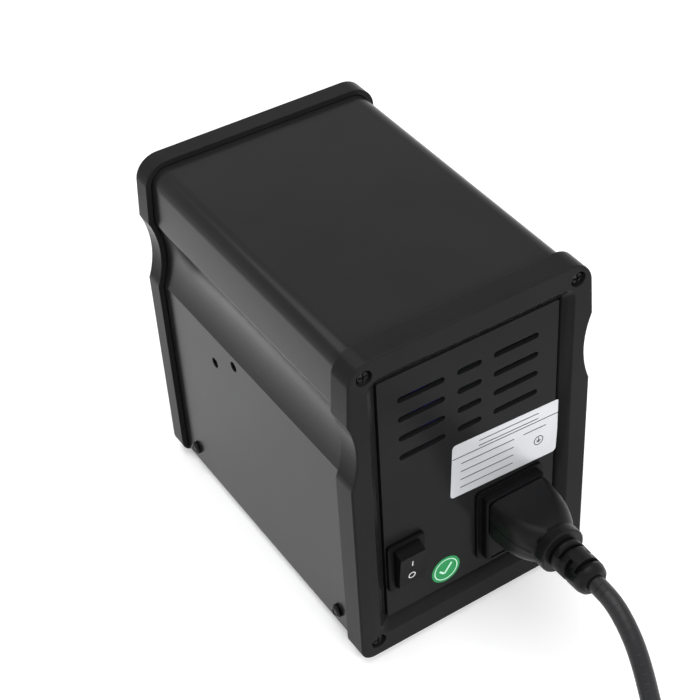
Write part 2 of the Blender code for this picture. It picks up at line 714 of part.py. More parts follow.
def knob(name, mat, x, z):
    """A fluted knob and its shaft, in one turned and fluted piece. Its own +Y points out of the panel."""
    count = 2 * KNOB_FLUTES

    def ring(radius, flute=0.0):
        angles = [math.tau * i / count for i in range(count)]
        radii = [radius - (flute if i % 2 else 0.0) for i in range(count)]
        return [(r * math.cos(a), r * math.sin(a)) for r, a in zip(radii, angles)]

    lift = 2 * GAP
    hollow = ring(BUSH_R + 4 * GAP)
    sections = [(-SHAFT_BEHIND, ring(SHAFT_R * 0.8)), (-SHAFT_BEHIND + 2 * GAP, ring(SHAFT_R))]
    sections += [(lift + KNOB_HOLLOW, ring(SHAFT_R)), (lift + KNOB_HOLLOW, hollow), (lift, hollow)]
    sections += [(lift, ring(KNOB_R)), (lift + KNOB_SKIRT, ring(KNOB_R))]
    sections += [(lift + KNOB_SKIRT + 4 * GAP, ring(KNOB_R * 0.90, KNOB_FLUTE_DEEP))]
    sections += [(KNOB_TALL - 4 * GAP, ring(KNOB_R * 0.84, KNOB_FLUTE_DEEP))]
    sections += [(KNOB_TALL, ring(KNOB_R * 0.72))]
    return add_object(name, loft(sections), mat, (x, FASCIA_Y, BASE + z), FACING_FRONT)


def potentiometer(name, mat, x, z):
    """A potentiometer behind the front panel; its bush passes through the panel round the shaft."""
    behind = -FASCIA - GAP
    can, bush, hole = circle(POT_R, 16), circle(BUSH_R, 16), circle(SHAFT_R + GAP, 16)
    sections = [(behind - POT_LONG, can), (behind, can), (behind, bush)]
    sections += [(BUSH_STANDS, bush), (BUSH_STANDS, hole), (-POT_LONG, hole)]
    return add_object(name, loft(sections), mat, (x, FASCIA_Y, BASE + z), FACING_FRONT)


def rocker_switch(name, body_mat, rocker_mat, x, panel_y, z, facing):
    """A rocker switch whose lower end is pressed. Returns its housing and its rocker."""
    well_w, well_h = ROCKER_W + 2 * GAP, 2 * (ROCKER_R + GAP)
    body = rounded(SWITCH_BODY_W, SWITCH_BODY_H, 0.0008)
    sections = [(-SWITCH_BODY_DEEP, body), (GAP, body), (GAP, rounded(SWITCH_W, SWITCH_H, 0.0012))]
    sections += [(SWITCH_FLANGE - 0.0005, rounded(SWITCH_W, SWITCH_H, 0.0012))]
    sections += [(SWITCH_FLANGE, rounded(SWITCH_W - 0.0010, SWITCH_H - 0.0010, 0.0008))]
    well = rounded(well_w, well_h, 0.0003)
    sections += [(SWITCH_FLANGE, well), (SWITCH_FLANGE - SWITCH_WELL_DEEP, well)]
    housing = add_object(f"{name}_switch", loft(sections), body_mat, (x, panel_y, z), facing)
    # The rocker's own +Y points out, its ends are arcs round the pivot, and its face is a shallow V.
    high, low = 31, -8
    upper = arc((0, 0), ROCKER_R, low, high, 5)
    face = [(ROCKER_R * 0.45, ROCKER_R * 0.50), (0, ROCKER_R * 0.49), (-ROCKER_R * 0.45, ROCKER_R * 0.50)]
    lower = arc((0, 0), ROCKER_R, 180 - high, 180 - low, 5)
    side_view = upper + face + lower + [(0, -ROCKER_R * 0.36)]
    bm = bmesh.new()
    outline = [bm.verts.new((-ROCKER_W / 2, out, up)) for up, out in side_view]
    face = bm.faces.new(outline)
    grown = bmesh.ops.extrude_face_region(bm, geom=[face])["geom"]
    moved = [v for v in grown if isinstance(v, bmesh.types.BMVert)]
    bmesh.ops.translate(bm, verts=moved, vec=(ROCKER_W, 0, 0))
    out = facing @ Vector((0, SWITCH_FLANGE - ROCKER_PIVOT_IN, 0))
    turn = facing @ Matrix.Rotation(-ROCKER_TILT, 4, "X")
    rocker = add_object(f"{name}_rocker", bm, rocker_mat, Vector((x, panel_y, z)) + out, turn)
    return housing, rocker


def aviation_socket(name, shell_mat, pin_mat, x, z, pins):
    """A round threaded chassis socket and its pin insert."""
    count = 18
    barrel, bore = circle(SOCKET_BARREL_R, count), circle(SOCKET_BORE_R, count)
    flange = circle(SOCKET_FLANGE_R, count)
    sections = [(-FASCIA - SOCKET_BEHIND, circle(SOCKET_BARREL_R * 0.9, count)), (-FASCIA, barrel)]
    sections += [(GAP, barrel), (GAP, flange), (SOCKET_FLANGE, flange), (SOCKET_FLANGE, barrel)]
    for turn in range(THREADS):
        at = THREAD_START + turn * THREAD_PITCH
        valley = circle(SOCKET_BARREL_R - THREAD_DEEP, count)
        sections += [(at, barrel), (at + THREAD_PITCH / 2, valley)]
    sections += [(SOCKET_STANDS, circle(SOCKET_BARREL_R - GAP, count))]
    sections += [(SOCKET_STANDS, bore), (SOCKET_FLOOR, bore)]
    at = (x, FASCIA_Y, BASE + z)
    add_object(f"{name}_socket", loft(sections), shell_mat, at, FACING_FRONT)
    floor = SOCKET_FLOOR + GAP
    disc = prism(circle(SOCKET_BORE_R - GAP, count), floor, floor + PIN_CARRIER)
    insert = add_object(f"{name}_socket_pins", disc, pin_mat, at, FACING_FRONT)
    around = pins if pins < 8 else pins - 1
    places = circle(PIN_CIRCLE_R, around) + ([(0, 0)] if pins > around else [])
    root, tip = floor + PIN_CARRIER / 2, floor + PIN_CARRIER + PIN_TALL
    stems = [prism(circle(PIN_R, 6, place), root, tip) for place in places]
    return join(insert, merged(stems), location=at, turn=FACING_FRONT)


def blade_places():
    """(x, z) of the inlet's three contacts about the plug's axis: line, neutral and earth."""
    return [(-BLADE_SPREAD, -0.0015), (BLADE_SPREAD, -0.0015), (0, BLADE_EARTH_UP)]


def inlet(mat, metal):
    """The mains inlet: flange, raised shroud, plug socket, and the well of the fuse drawer."""
    at = (INLET_X, PANEL_Y, BASE + INLET_Z)
    shroud = rounded(SHROUD_W, SHROUD_H, 0.0015)
    flange = rounded(INLET_W, INLET_H, 0.0020)
    sections = [(-INLET_BEHIND, shroud), (GAP, shroud), (GAP, flange)]
    sections += [(INLET_FLANGE, flange), (INLET_FLANGE, shroud)]
    sections += [(INLET_STANDS - 0.0006, shroud)]
    sections += [(INLET_STANDS, rounded(SHROUD_W - 0.0012, SHROUD_H - 0.0012, 0.0009))]
    obj = add_object("mains_inlet", loft(sections), mat, at)
    socket = rounded(SOCKET_W, SOCKET_H, 0.0015, (0, PLUG_Z - INLET_Z), 4, SOCKET_BEVEL)
    cut(obj, prism(socket, INLET_STANDS - SOCKET_DEEP, INLET_STANDS + 0.001), location=at)
    well = rounded(DRAWER_W + 2 * GAP, DRAWER_H + 2 * GAP, 0.0005, (0, DRAWER_Z - INLET_Z))
    cut(obj, prism(well, INLET_STANDS - DRAWER_DEEP - 0.0018, INLET_STANDS + 0.001), location=at)
    back = INLET_STANDS - SOCKET_DEEP + GAP
    seat = rounded(SOCKET_W - 2 * GAP, SOCKET_H - 2 * GAP, 0.0012, (0, 0), 4, SOCKET_BEVEL)
    plug_axis = (INLET_X, PANEL_Y, BASE + PLUG_Z)
    contacts = add_object("inlet_contacts", prism(seat, back, back + CARRIER), metal, plug_axis)
    ends = (back + CARRIER / 2, back + CARRIER + BLADE_LONG)
    blades = [prism(rounded(BLADE_W, BLADE_H, 0.0003, place, 1), *ends) for place in blade_places()]
    join(contacts, merged(blades), location=plug_axis)


def fuse_drawer(mat, glass):
    """The drawer under the plug, with a finger lip, and the glass fuse that lies in it."""
    at = (INLET_X, PANEL_Y, BASE + DRAWER_Z)
    front = INLET_STANDS - GAP
    box = rounded(DRAWER_W, DRAWER_H, 0.0004, steps=1)
    lip = rounded(DRAWER_W * 0.5, 0.0014, 0.0004, (0, DRAWER_H / 2 - 0.0016), 1)
    obj = add_object("fuse_drawer", prism(box, front - DRAWER_DEEP, front), mat, at)
    join(obj, prism(lip, front - 0.001, front + DRAWER_LIP), location=at)
    middle = front - DRAWER_DEEP / 2
    reach, side = FUSE_LONG / 2 + GAP, FUSE_R + GAP
    cut(obj, block((-reach, middle - side, -side), (reach, middle + side, DRAWER_H)), location=at)
    half, cap = FUSE_LONG / 2, 0.0055
    profile = [(0, -half), (FUSE_R, -half), (FUSE_R, -half + cap), (FUSE_R * 0.88, -half + cap)]
    profile += [(FUSE_R * 0.88, half - cap), (FUSE_R, half - cap), (FUSE_R, half), (0, half)]
    add_object("fuse", turned(profile, 12), glass, (at[0], PANEL_Y + middle, at[2]), FACING_RIGHT)


def mains_plug(mat):
    """The lead's connector: a bevelled nose in the inlet, a waisted grip and a round collar."""
    start = INLET_STANDS + GAP
    steps = 6
    nose = rounded(SOCKET_W - 4 * GAP, SOCKET_H - 4 * GAP, 0.0012, (0, 0), steps, SOCKET_BEVEL)
    sections = [(start - NOSE_DEEP, nose), (start, nose)]
    grip = [(0.0, 0.95, 0.93, 0.0026), (0.03, 0.985, 0.98, 0.0032), (0.08, 1.0, 1.0, 0.0036)]
    grip += [(0.45, 0.98, 0.97, 0.0045), (0.62, 0.94, 0.95, 0.0052), (0.76, 0.88, 0.92, 0.0060)]
    grip += [(0.89, 0.79, 0.88, 0.0068), (1.0, 0.69, 0.83, 0.0074)]
    for share, wide, tall, radius in grip:
        outline = rounded(GRIP_W * wide, GRIP_H * tall, radius, steps=steps)
        sections.append((start + share * GRIP_LONG, outline))
    edge = 0.0006
    collar = [(0, COLLAR_R - edge), (edge, COLLAR_R), (COLLAR_LONG - edge, COLLAR_R)]
    collar.append((COLLAR_LONG, COLLAR_R - edge))
    for along, radius in collar:
        outline = rounded(2 * radius, 2 * radius, radius * 0.999, steps=steps)
        sections.append((start + GRIP_LONG + along, outline))
    at = (INLET_X, PANEL_Y, BASE + PLUG_Z)
    obj = add_object("mains_plug", loft(sections), mat, at)
    deep = start - NOSE_DEEP - 0.001
    tip = INLET_STANDS - SOCKET_DEEP + GAP + CARRIER + BLADE_LONG + GAP
    holes = [rounded(BLADE_W + 2 * GAP, BLADE_H + 2 * GAP, 0.0003, place, 1) for place in blade_places()]
    return cut(obj, merged([prism(hole, deep, tip) for hole in holes]), location=at)


def relief_start():
    return PANEL_Y + INLET_STANDS + 2 * GAP + GRIP_LONG + COLLAR_LONG


def strain_relief(mat):
    """The lead's bend relief: a tapered sleeve with staggered slots in three rings."""
    long, r = RELIEF_LONG, RELIEF_R
    profile = [(0, 0), (r * 0.93, 0), (r, 0.0012), (r * 0.96, long - 0.0030)]
    profile += [(r * 0.86, long - 0.0010), (r * 0.70, long), (0, long)]
    at = (INLET_X, relief_start(), BASE + PLUG_Z)
    obj = add_object("strain_relief", turned(profile, 24), mat, at)
    width, pitch, span = 0.0018, 0.0042, 118
    for ring in range(3):
        middle = 0.0042 + ring * pitch
        for side in (0, 180):
            sector_start = side + 90 * (ring % 2) + 31
            outer = arc((0, 0), r * 1.2, sector_start, sector_start + span, 8)
            inner = arc((0, 0), r * 0.68, sector_start + span, sector_start, 8)
            cut(obj, prism(outer + inner, middle - width / 2, middle + width / 2), location=at)
    return obj


def cord_route():
    """The lead's route from its relief to the coil, as (x, distance behind the rear panel, height)."""
    return [
        (INLET_X, relief_start() + RELIEF_LONG + GAP - REAR_Y, BASE + PLUG_Z),
        (-0.0159, 0.0575, BASE + 0.0434),
        (-0.0150, 0.0650, BASE + 0.0416),
        (-0.0135, 0.0730, BASE + 0.0380),
        (-0.0115, 0.0805, BASE + 0.0328),
        (-0.0093, 0.0875, BASE + 0.0264),
        (-0.0075, 0.0937, BASE + 0.0195),
        (-0.0057, 0.1019, BASE + 0.0107),
        (-0.0050, 0.1068, BASE + 0.0064),
        (-0.0046, 0.1125, BASE + 0.0033),
        (-0.0045, 0.1184, BASE + 0.0014),
        (-0.0045, 0.1246, BASE + 0.0008),
        (-0.0045, COIL_Y - REAR_Y - COIL_MEETS - 0.0110, BASE + 0.0012),
        (-0.0045, COIL_Y - REAR_Y - COIL_MEETS, BASE + 0.0019),
    ]


def end_route():
    """The lead's last stretch: out of the wall plug, along the bench, and up to the coil's outer turn."""
    tilt = wall_plug_tilt()
    start = wall_plug_tail() + GAP * Vector((0, math.cos(tilt), -math.sin(tilt)))
    low_y = start.y + CORD_BEND_R * math.sin(tilt)
    low_z = start.z - CORD_BEND_R * (1 - math.cos(tilt))
    high_y, high_z = COIL_Y - COIL_MEETS, COIL_LIFT + COIL_TALL / 2
    # Two arcs of one radius climb from the lowest point to the coil.
    slope = 2 * math.atan((high_z - low_z) / (high_y - low_y))
    radius = (high_y - low_y) / (2 * math.sin(slope))
    steep = math.degrees(slope)
    side_view = arc((low_y, low_z + CORD_BEND_R), CORD_BEND_R, -90 - math.degrees(tilt), -90, 2)
    side_view += arc((low_y, low_z + radius), radius, -90, steep - 90, 3)[1:]
    side_view += arc((high_y, high_z - radius), radius, 90 + steep, 90, 3)[1:]
    return [(COIL_X + COIL_MEAN_R + CORD_R, y, z) for y, z in side_view]


def mains_cord(mat):
    """The lead's loose stretches, its coil, and the strap round the coil."""
    route = [(x, REAR_Y + y, z) for x, y, z in cord_route()]
    cord_tube("mains_cord", smooth_route(route, 0.006), mat)
    cord_tube("mains_cord_end", smooth_route(end_route(), 0.005), mat)
    half, r = COIL_HALF_W, 0.0020
    section = rounded(2 * half, COIL_TALL, r, (COIL_MEAN_R, COIL_LIFT + COIL_TALL / 2), 2)
    upright = Matrix.Rotation(math.pi / 2, 4, "X")
    ring = turned(section, COIL_STEPS, closed=True)
    add_object("mains_cord_coil", ring, mat, (COIL_X, COIL_Y, 0), upright)


def cord_tie(mat):
    """The strap round the coil's turns."""
    inner_w = 2 * COIL_HALF_W + 2 * TIE_CLEAR
    inner_h = COIL_TALL + 2 * TIE_CLEAR
    half = TIE_WIDE / 2
    outer = rounded(inner_w + 2 * TIE_THICK, inner_h + 2 * TIE_THICK, 0.0028, steps=3)
    inner = rounded(inner_w, inner_h, 0.0020, steps=3)
    bm = prism(outer, -half, half)
    turn = Matrix.Rotation(TIE_TURN, 4, "Z")
    place = Vector((COIL_X, COIL_Y, COIL_LIFT + COIL_TALL / 2)) + turn @ Vector((COIL_MEAN_R, 0, 0))
    obj = add_object("cord_tie", bm, mat, place, turn)
    return cut(obj, prism(inner, -half - 0.001, half + 0.001), location=place, turn=turn)


def wall_plug_tilt():
    return math.atan((WALL_HEAD_R - WALL_TAIL_R) / WALL_HEAD_AT)


def wall_plug_tail():
    """Middle of the wall plug's tail, so that the rims of tail and head both rest on the bench."""
    return Vector((WALL_PLUG_X, WALL_PLUG_Y, WALL_TAIL_R * math.cos(wall_plug_tilt()) + 0.0002))


def wall_plug(mat, metal):
    """A round earthed wall plug with two pins, lying on the bench."""
    tail = wall_plug_tail()
    turn = Matrix.Rotation(math.pi, 4, "Z") @ Matrix.Rotation(wall_plug_tilt(), 4, "X")
    head, face = WALL_HEAD_AT, WALL_PLUG_LONG
    profile = [(0, 0), (WALL_TAIL_R, 0), (WALL_TAIL_R + 0.0012, 0.012), (0.0098, 0.017), (0.0112, 0.030)]
    profile += [(0.0150, head - 0.0030), (WALL_HEAD_R, head), (WALL_HEAD_R, face - 0.001)]
    profile += [(WALL_HEAD_R - 0.001, face), (0, face)]
    plug = add_object("wall_plug", turned(profile, 24), mat, tail, turn)
    seats = [circle(WALL_PIN_R + GAP, 12, (side * WALL_PIN_SPREAD, 0)) for side in (-1, 1)]
    holes = merged([prism(seat, face - 0.004, face + 0.001) for seat in seats])
    cut(plug, holes, location=tail, turn=turn)
    for name, side in (("line", -1), ("neutral", 1)):
        place = tail + turn @ Vector((side * WALL_PIN_SPREAD, face - 0.004 + GAP, 0))
        long, r = WALL_PIN_LONG + 0.004, WALL_PIN_R
        pin = [(0, 0), (r, 0), (r, long - r), (r * 0.75, long - r * 0.4), (r * 0.35, long), (0, long)]
        add_object(f"wall_pin_{name}", turned(pin, 12), metal, place, turn)


def transformer(iron, copper):
    """A laminated core with one window, and the winding that fills it."""
    foot = TRAY_TOP + GAP
    middle_y = FRONT_Y + CORE_FROM_FRONT
    middle = (0, CORE_H / 2)
    reach = CORE_D / 2
    stack = prism(rounded(CORE_W, CORE_H, 0.001, middle), middle_y - reach, middle_y + reach)
    core = add_object("transformer_core", stack, iron, (0, 0, foot))
    window_w, window_h = CORE_W - 2 * CORE_LIMB, CORE_H - 2 * CORE_LIMB
    window = rounded(window_w, window_h, 0.001, middle)
    cut(core, prism(window, middle_y - CORE_D, middle_y + CORE_D), location=(0, 0, foot))
    winding = rounded(window_w - 2 * GAP, window_h - 2 * GAP, 0.001, middle)
    reach += WINDING_PROUD
    coil = prism(winding, middle_y - reach, middle_y + reach)
    add_object("transformer_winding", coil, copper, (0, 0, foot))


def power_board(board_mat, blue, can, alloy):
    """The upright board behind the tray's tabs, with the tallest parts that it carries."""
    foot = TRAY_TOP + GAP
    near = REAR_Y - BOARD_FROM_REAR
    half = CASE_W / 2 - BOARD_SIDE
    top = BASE + CASE_H - BOARD_UNDER_TOP
    add_object("power_board", block((-half, near, foot), (half, near + BOARD_THICK, top)), board_mat)
    seat = near + BOARD_THICK + GAP
    low = BASE + VENT_TOP - CAPACITOR_UNDER_VENT - CAPACITOR_H / 2
    far = PANEL_Y - REAR_PANEL - CAPACITOR_CLEAR
    x = CAPACITOR_X - CAPACITOR_W / 2
    film = block((x, seat, low), (x + CAPACITOR_W, far, low + CAPACITOR_H))
    add_object("film_capacitor", film, blue)
    edge = CAN_R * 0.92
    profile = [(0, 0), (CAN_R, 0), (CAN_R, CAN_LONG - 2 * GAP), (edge, CAN_LONG), (0, CAN_LONG)]
    add_object("reservoir_capacitor", turned(profile, 16), can, (half - CAN_IN, seat, BASE + CAN_Z))
    width = (SINK_FINS - 1) * SINK_PITCH + SINK_FIN
    comb = [(0, 0), (width, 0)]
    for i in reversed(range(SINK_FINS)):
        x = i * SINK_PITCH
        comb += [(x + SINK_FIN, SINK_DEEP), (x, SINK_DEEP)]
        if i:
            comb += [(x, SINK_BASE), (x - SINK_PITCH + SINK_FIN, SINK_BASE)]
    # The comb is drawn in X and depth, and pulled up to the sink's height.
    sink = prism(comb, 0, SINK_TALL)
    bmesh.ops.transform(sink, verts=sink.verts, matrix=Matrix.Rotation(math.pi / 2, 4, "X"))
    bmesh.ops.scale(sink, verts=sink.verts, vec=(1, -1, 1))
    add_object("heat_sink", sink, alloy, (half - SINK_IN - width, seat, BASE + SINK_Z))


def build():
    for obj in list(bpy.data.objects):
        bpy.data.objects.remove(obj)
    sheet = material("black_powder_coat", "2A2A2C", 0.45)
    moulded = material("black_moulded", "1F1F20", 0.50)
    gloss = material("black_gloss", "141415", 0.30)
    rubber = material("rubber", "151516", 0.80)
    screw_black = material("black_screw", "1A1A1B", 0.35, 0.8)
    smoked = material("smoked_window", "2B0E10", 0.12)
    steel = material("bright_metal", "B9BCC0", 0.25, 1.0)
    board_green = material("board_green", "1F5A36", 0.50)
    zinc = material("zinc_plate", "8F9296", 0.40, 1.0)
    iron = material("core_iron", "55575A", 0.55, 0.9)
    copper = material("winding", "7A3B1C", 0.50)
    blue = material("blue_capacitor", "2A35A8", 0.45)
    glass = material("fuse_glass", "C8CDD0", 0.15)
    cover_shell(sheet)
    chassis_tray(zinc)
    feet(rubber)
    front_bezel(moulded)
    fascia(moulded)
    display_windows(smoked)
    display_board(board_green)
    for name, (x, z) in KNOBS.items():
        knob(f"knob_{name}", gloss, x, z)
        potentiometer(f"pot_{name}", zinc, x, z)
    for name, (x, z) in FRONT_SWITCHES.items():
        rocker_switch(name, gloss, gloss, x, FASCIA_Y, BASE + z, FACING_FRONT)
    for name, (x, z) in SOCKETS.items():
        aviation_socket(name, steel, steel, x, z, SOCKET_PINS[name])
    rear_frame(moulded)
    rear_panel(moulded)
    rocker_switch("power", gloss, gloss, POWER_SWITCH_X, PANEL_Y, BASE + POWER_SWITCH_Z, FACING_REAR)
    cover_screws(screw_black)
    corner_screws("rear_screw", screw_black, REAR_Y - COUNTERBORE_DEEP + GAP, FACING_REAR)
    corner_screws("front_screw", screw_black, FRONT_Y + COUNTERBORE_DEEP - GAP, FACING_FRONT)
    inlet(gloss, steel)
    fuse_drawer(gloss, glass)
    mains_plug(moulded)
    strain_relief(moulded)
    mains_cord(rubber)
    cord_tie(moulded)
    wall_plug(moulded, steel)
    transformer(iron, copper)
    power_board(board_green, blue, gloss, zinc)
    for obj in bpy.data.objects:
        obj.location.y += CASE_Y


build()
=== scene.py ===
"""Looks of the hot air rework station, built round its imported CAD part."""

import json
import math

import bmesh
import bpy
from mathutils import Matrix, Vector


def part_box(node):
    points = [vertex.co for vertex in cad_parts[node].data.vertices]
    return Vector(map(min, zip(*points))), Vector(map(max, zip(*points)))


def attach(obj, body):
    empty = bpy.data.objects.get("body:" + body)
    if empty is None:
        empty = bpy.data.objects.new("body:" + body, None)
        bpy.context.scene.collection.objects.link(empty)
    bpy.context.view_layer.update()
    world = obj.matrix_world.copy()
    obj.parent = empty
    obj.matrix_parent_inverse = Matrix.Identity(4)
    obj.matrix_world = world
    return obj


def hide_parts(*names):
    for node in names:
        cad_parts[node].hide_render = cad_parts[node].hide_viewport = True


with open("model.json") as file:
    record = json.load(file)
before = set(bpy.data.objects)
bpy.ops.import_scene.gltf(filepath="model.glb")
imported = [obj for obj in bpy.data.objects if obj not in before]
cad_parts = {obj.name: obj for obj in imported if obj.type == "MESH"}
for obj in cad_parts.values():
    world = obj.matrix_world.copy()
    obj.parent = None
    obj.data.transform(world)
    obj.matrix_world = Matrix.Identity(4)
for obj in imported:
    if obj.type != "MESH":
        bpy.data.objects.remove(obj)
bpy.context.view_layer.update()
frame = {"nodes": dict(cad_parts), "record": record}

# Sizes shared with the CAD part, in metres and radians
GAP = 0.0003
BENCH_GAP = 0.0002
CASE_D = 0.143
CASE_Y = 0.0039
BASE = 0.003
REAR_Y = CASE_Y + CASE_D / 2
PANEL_SUNK = 0.0025
PANEL_Y = REAR_Y - PANEL_SUNK
FASCIA_SUNK = 0.0028
FASCIA_Y = CASE_Y - CASE_D / 2 + FASCIA_SUNK
CORD_R = 0.0035
CORD_BEND_R = 0.0290
INLET_X = -0.0163
INLET_STANDS = 0.0055
GRIP_LONG = 0.0222
PLUG_Z = BASE + 0.0435
COIL_X = 0.0370
COIL_Y = 0.2440 + CASE_Y
COIL_MEAN_R = 0.0380
COIL_LIFT = 0.0014
COIL_MEETS = 0.02414
COIL_LEVEL = 0.0120
WALL_PLUG_Y = 0.1800 + CASE_Y
WALL_TAIL_R = 0.0055
WALL_HEAD_R = 0.0185
WALL_HEAD_AT = 0.0400
ROCKER_TILT = math.radians(6.0)
ROCKER_PIVOT_OUT = 0.0005
ROCKER_R = 0.0091
KNOB_TALL = 0.0145

# How far a knob turns either way from upright, in degrees
KNOB_STOP = 150

# A rocker's face, in shares of its radius: how far out its middle and its ends stand, and the ends' height
FACE_MIDDLE_OUT = 0.49
FACE_END_OUT = 0.50
FACE_END_UP = 0.45

UPRIGHT = Matrix.Rotation(math.pi / 2, 4, "X")
FACING_FRONT = Matrix.Rotation(math.pi, 4, "Z")
FACING_REAR = Matrix.Identity(4)


def linear(hex_colour):
    """An sRGB hex colour as the linear RGBA that shader sockets take."""
    channels = [int(hex_colour[i : i + 2], 16) / 255 for i in (0, 2, 4)]
    return (*[c / 12.92 if c <= 0.04045 else ((c + 0.055) / 1.055) ** 2.4 for c in channels], 1.0)


def set_camera():
    """The photograph's own camera: its place, aim, roll and shifted frame."""
    data = bpy.data.cameras.new("camera")
    data.sensor_width = 36.0
    data.lens = 88.18
    data.shift_x = -0.16516
    data.shift_y = 0.0055
    camera = bpy.data.objects.new("camera", data)
    place = (0.24897, 0.41713 + CASE_Y, 0.49383)
    azimuth, elevation, roll = (math.radians(a) for a in (144.64, 40.85, -0.34))
    flat = math.cos(elevation)
    back = Vector((math.sin(azimuth) * flat, -math.cos(azimuth) * flat, math.sin(elevation)))
    right = Vector((0, 0, 1)).cross(back).normalized()
    up = back.cross(right)
    right, up = (
        math.cos(roll) * right + math.sin(roll) * up,
        math.cos(roll) * up - math.sin(roll) * right,
    )
    turn = Matrix((right, up, back)).transposed().to_4x4()
    camera.matrix_world = Matrix.Translation(place) @ turn
    bpy.context.scene.collection.objects.link(camera)
    bpy.context.scene.camera = camera


set_camera()


# The mains lead: from the strain relief down to the bench, round the coil and on to the wall plug


def arc(centre, radius, start, end, steps):
    """Points along an arc, from a start to an end in degrees."""
    angles = [math.radians(start + (end - start) * i / steps) for i in range(steps + 1)]
    return [(centre[0] + radius * math.cos(a), centre[1] + radius * math.sin(a)) for a in angles]


def lead_start():
    """The loose stretch from the strain relief to the coil."""
    relief_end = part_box("strain_relief")[1][1] + GAP
    return [
        (INLET_X, relief_end, PLUG_Z),
        (-0.0159, REAR_Y + 0.0575, BASE + 0.0434),
        (-0.0150, REAR_Y + 0.0650, BASE + 0.0416),
        (-0.0135, REAR_Y + 0.0730, BASE + 0.0380),
        (-0.0115, REAR_Y + 0.0805, BASE + 0.0328),
        (-0.0093, REAR_Y + 0.0875, BASE + 0.0264),
        (-0.0075, REAR_Y + 0.0937, BASE + 0.0195),
        (-0.0057, REAR_Y + 0.1019, BASE + 0.0107),
        (-0.0050, REAR_Y + 0.1068, BASE + 0.0064),
        (-0.0046, REAR_Y + 0.1125, BASE + 0.0033),
        (-0.0045, REAR_Y + 0.1184, BASE + 0.0014),
        (-0.0045, REAR_Y + 0.1246, BASE + 0.0008),
        (-0.0045, COIL_Y - COIL_MEETS - 0.0110, BASE + 0.0012),
        (-0.0045, COIL_Y - COIL_MEETS, BASE + 0.0019),
        (-0.0045, COIL_Y - COIL_LEVEL, COIL_LIFT + CORD_R),
    ]


def coil_turns(step=12):
    """The coil's turns, clockwise from above: out and in on three layers, as a person winds it."""
    outer, inner = COIL_MEAN_R + CORD_R, COIL_MEAN_R - CORD_R
    low, middle, high = (COIL_LIFT + CORD_R * (1 + 2 * layer) for layer in range(3))
    lanes = [(outer, low), (inner, low), (inner, middle), (inner, high), (outer, high), (outer, middle)]
    # In degrees: where the first lane ends, how long the next ones are, each change, and the whole way
    first_lane, next_lane, change_over, whole = 275, 335, 85, 1980
    changes = [first_lane + next_lane * i for i in range(len(lanes) - 1)]
    points = []
    for degrees in range(0, whole + 1, step):
        done = sum(degrees >= c for c in changes)
        radius, z = lanes[done]
        if done and degrees < changes[done - 1] + change_over:
            # Two even arcs carry the cord from one lane to the next.
            share = (degrees - changes[done - 1]) / change_over
            share = 2 * share * share if share < 0.5 else 1 - 2 * (1 - share) ** 2
            before, height = lanes[done - 1]
            radius = before + (radius - before) * share
            z = height + (z - height) * share
        angle = math.radians(180 - degrees)
        points.append((COIL_X + radius * math.cos(angle), COIL_Y + radius * math.sin(angle), z))
    return points


def lead_end():
    """The last loose stretch: off the coil, down to the bench, and up into the wall plug's tail."""
    tilt = math.atan((WALL_HEAD_R - WALL_TAIL_R) / WALL_HEAD_AT)
    start = Vector((0, WALL_PLUG_Y, WALL_TAIL_R * math.cos(tilt) + BENCH_GAP))
    start += GAP * Vector((0, math.cos(tilt), -math.sin(tilt)))
    low_y = start.y + CORD_BEND_R * math.sin(tilt)
    low_z = start.z - CORD_BEND_R * (1 - math.cos(tilt))
    high_y, high_z = COIL_Y - COIL_MEETS, COIL_LIFT + 3 * CORD_R
    slope = 2 * math.atan((high_z - low_z) / (high_y - low_y))
    radius = (high_y - low_y) / (2 * math.sin(slope))
    steep = math.degrees(slope)
    side_view = arc((low_y, low_z + CORD_BEND_R), CORD_BEND_R, -90 - math.degrees(tilt), -90, 2)
    side_view += arc((low_y, low_z + radius), radius, -90, steep - 90, 3)[1:]
    side_view += arc((high_y, high_z - radius), radius, 90 + steep, 90, 3)[1:]
    side_view.append((COIL_Y - COIL_LEVEL, high_z))
    return [(COIL_X + COIL_MEAN_R + CORD_R, y, z) for y, z in reversed(side_view)]


def smooth_route(points, spacing, steps=12):
    """Points at an even spacing along a smooth curve through the route's own points, and its length."""
    knots = [Vector(p) for p in points]
    knots = [2 * knots[0] - knots[1], *knots, 2 * knots[-1] - knots[-2]]
    fine = []
    for a, b, c, d in zip(knots, knots[1:], knots[2:], knots[3:]):
        for i in range(steps):
            t = i / steps
            slope = 2 * b + (c - a) * t
            square = (2 * a - 5 * b + 4 * c - d) * t**2
            cube = (3 * b - a - 3 * c + d) * t**3
            fine.append((slope + square + cube) / 2)
    fine.append(knots[-2])
    total = sum((q - p).length for p, q in zip(fine, fine[1:]))
    count = max(2, round(total / spacing))
    kept = [fine[0]]
    walked = 0.0
    for p, q in zip(fine, fine[1:]):
        walked += (q - p).length
        if walked >= total * len(kept) / count and len(kept) < count:
            kept.append(q)
    return kept + [fine[-1]], total


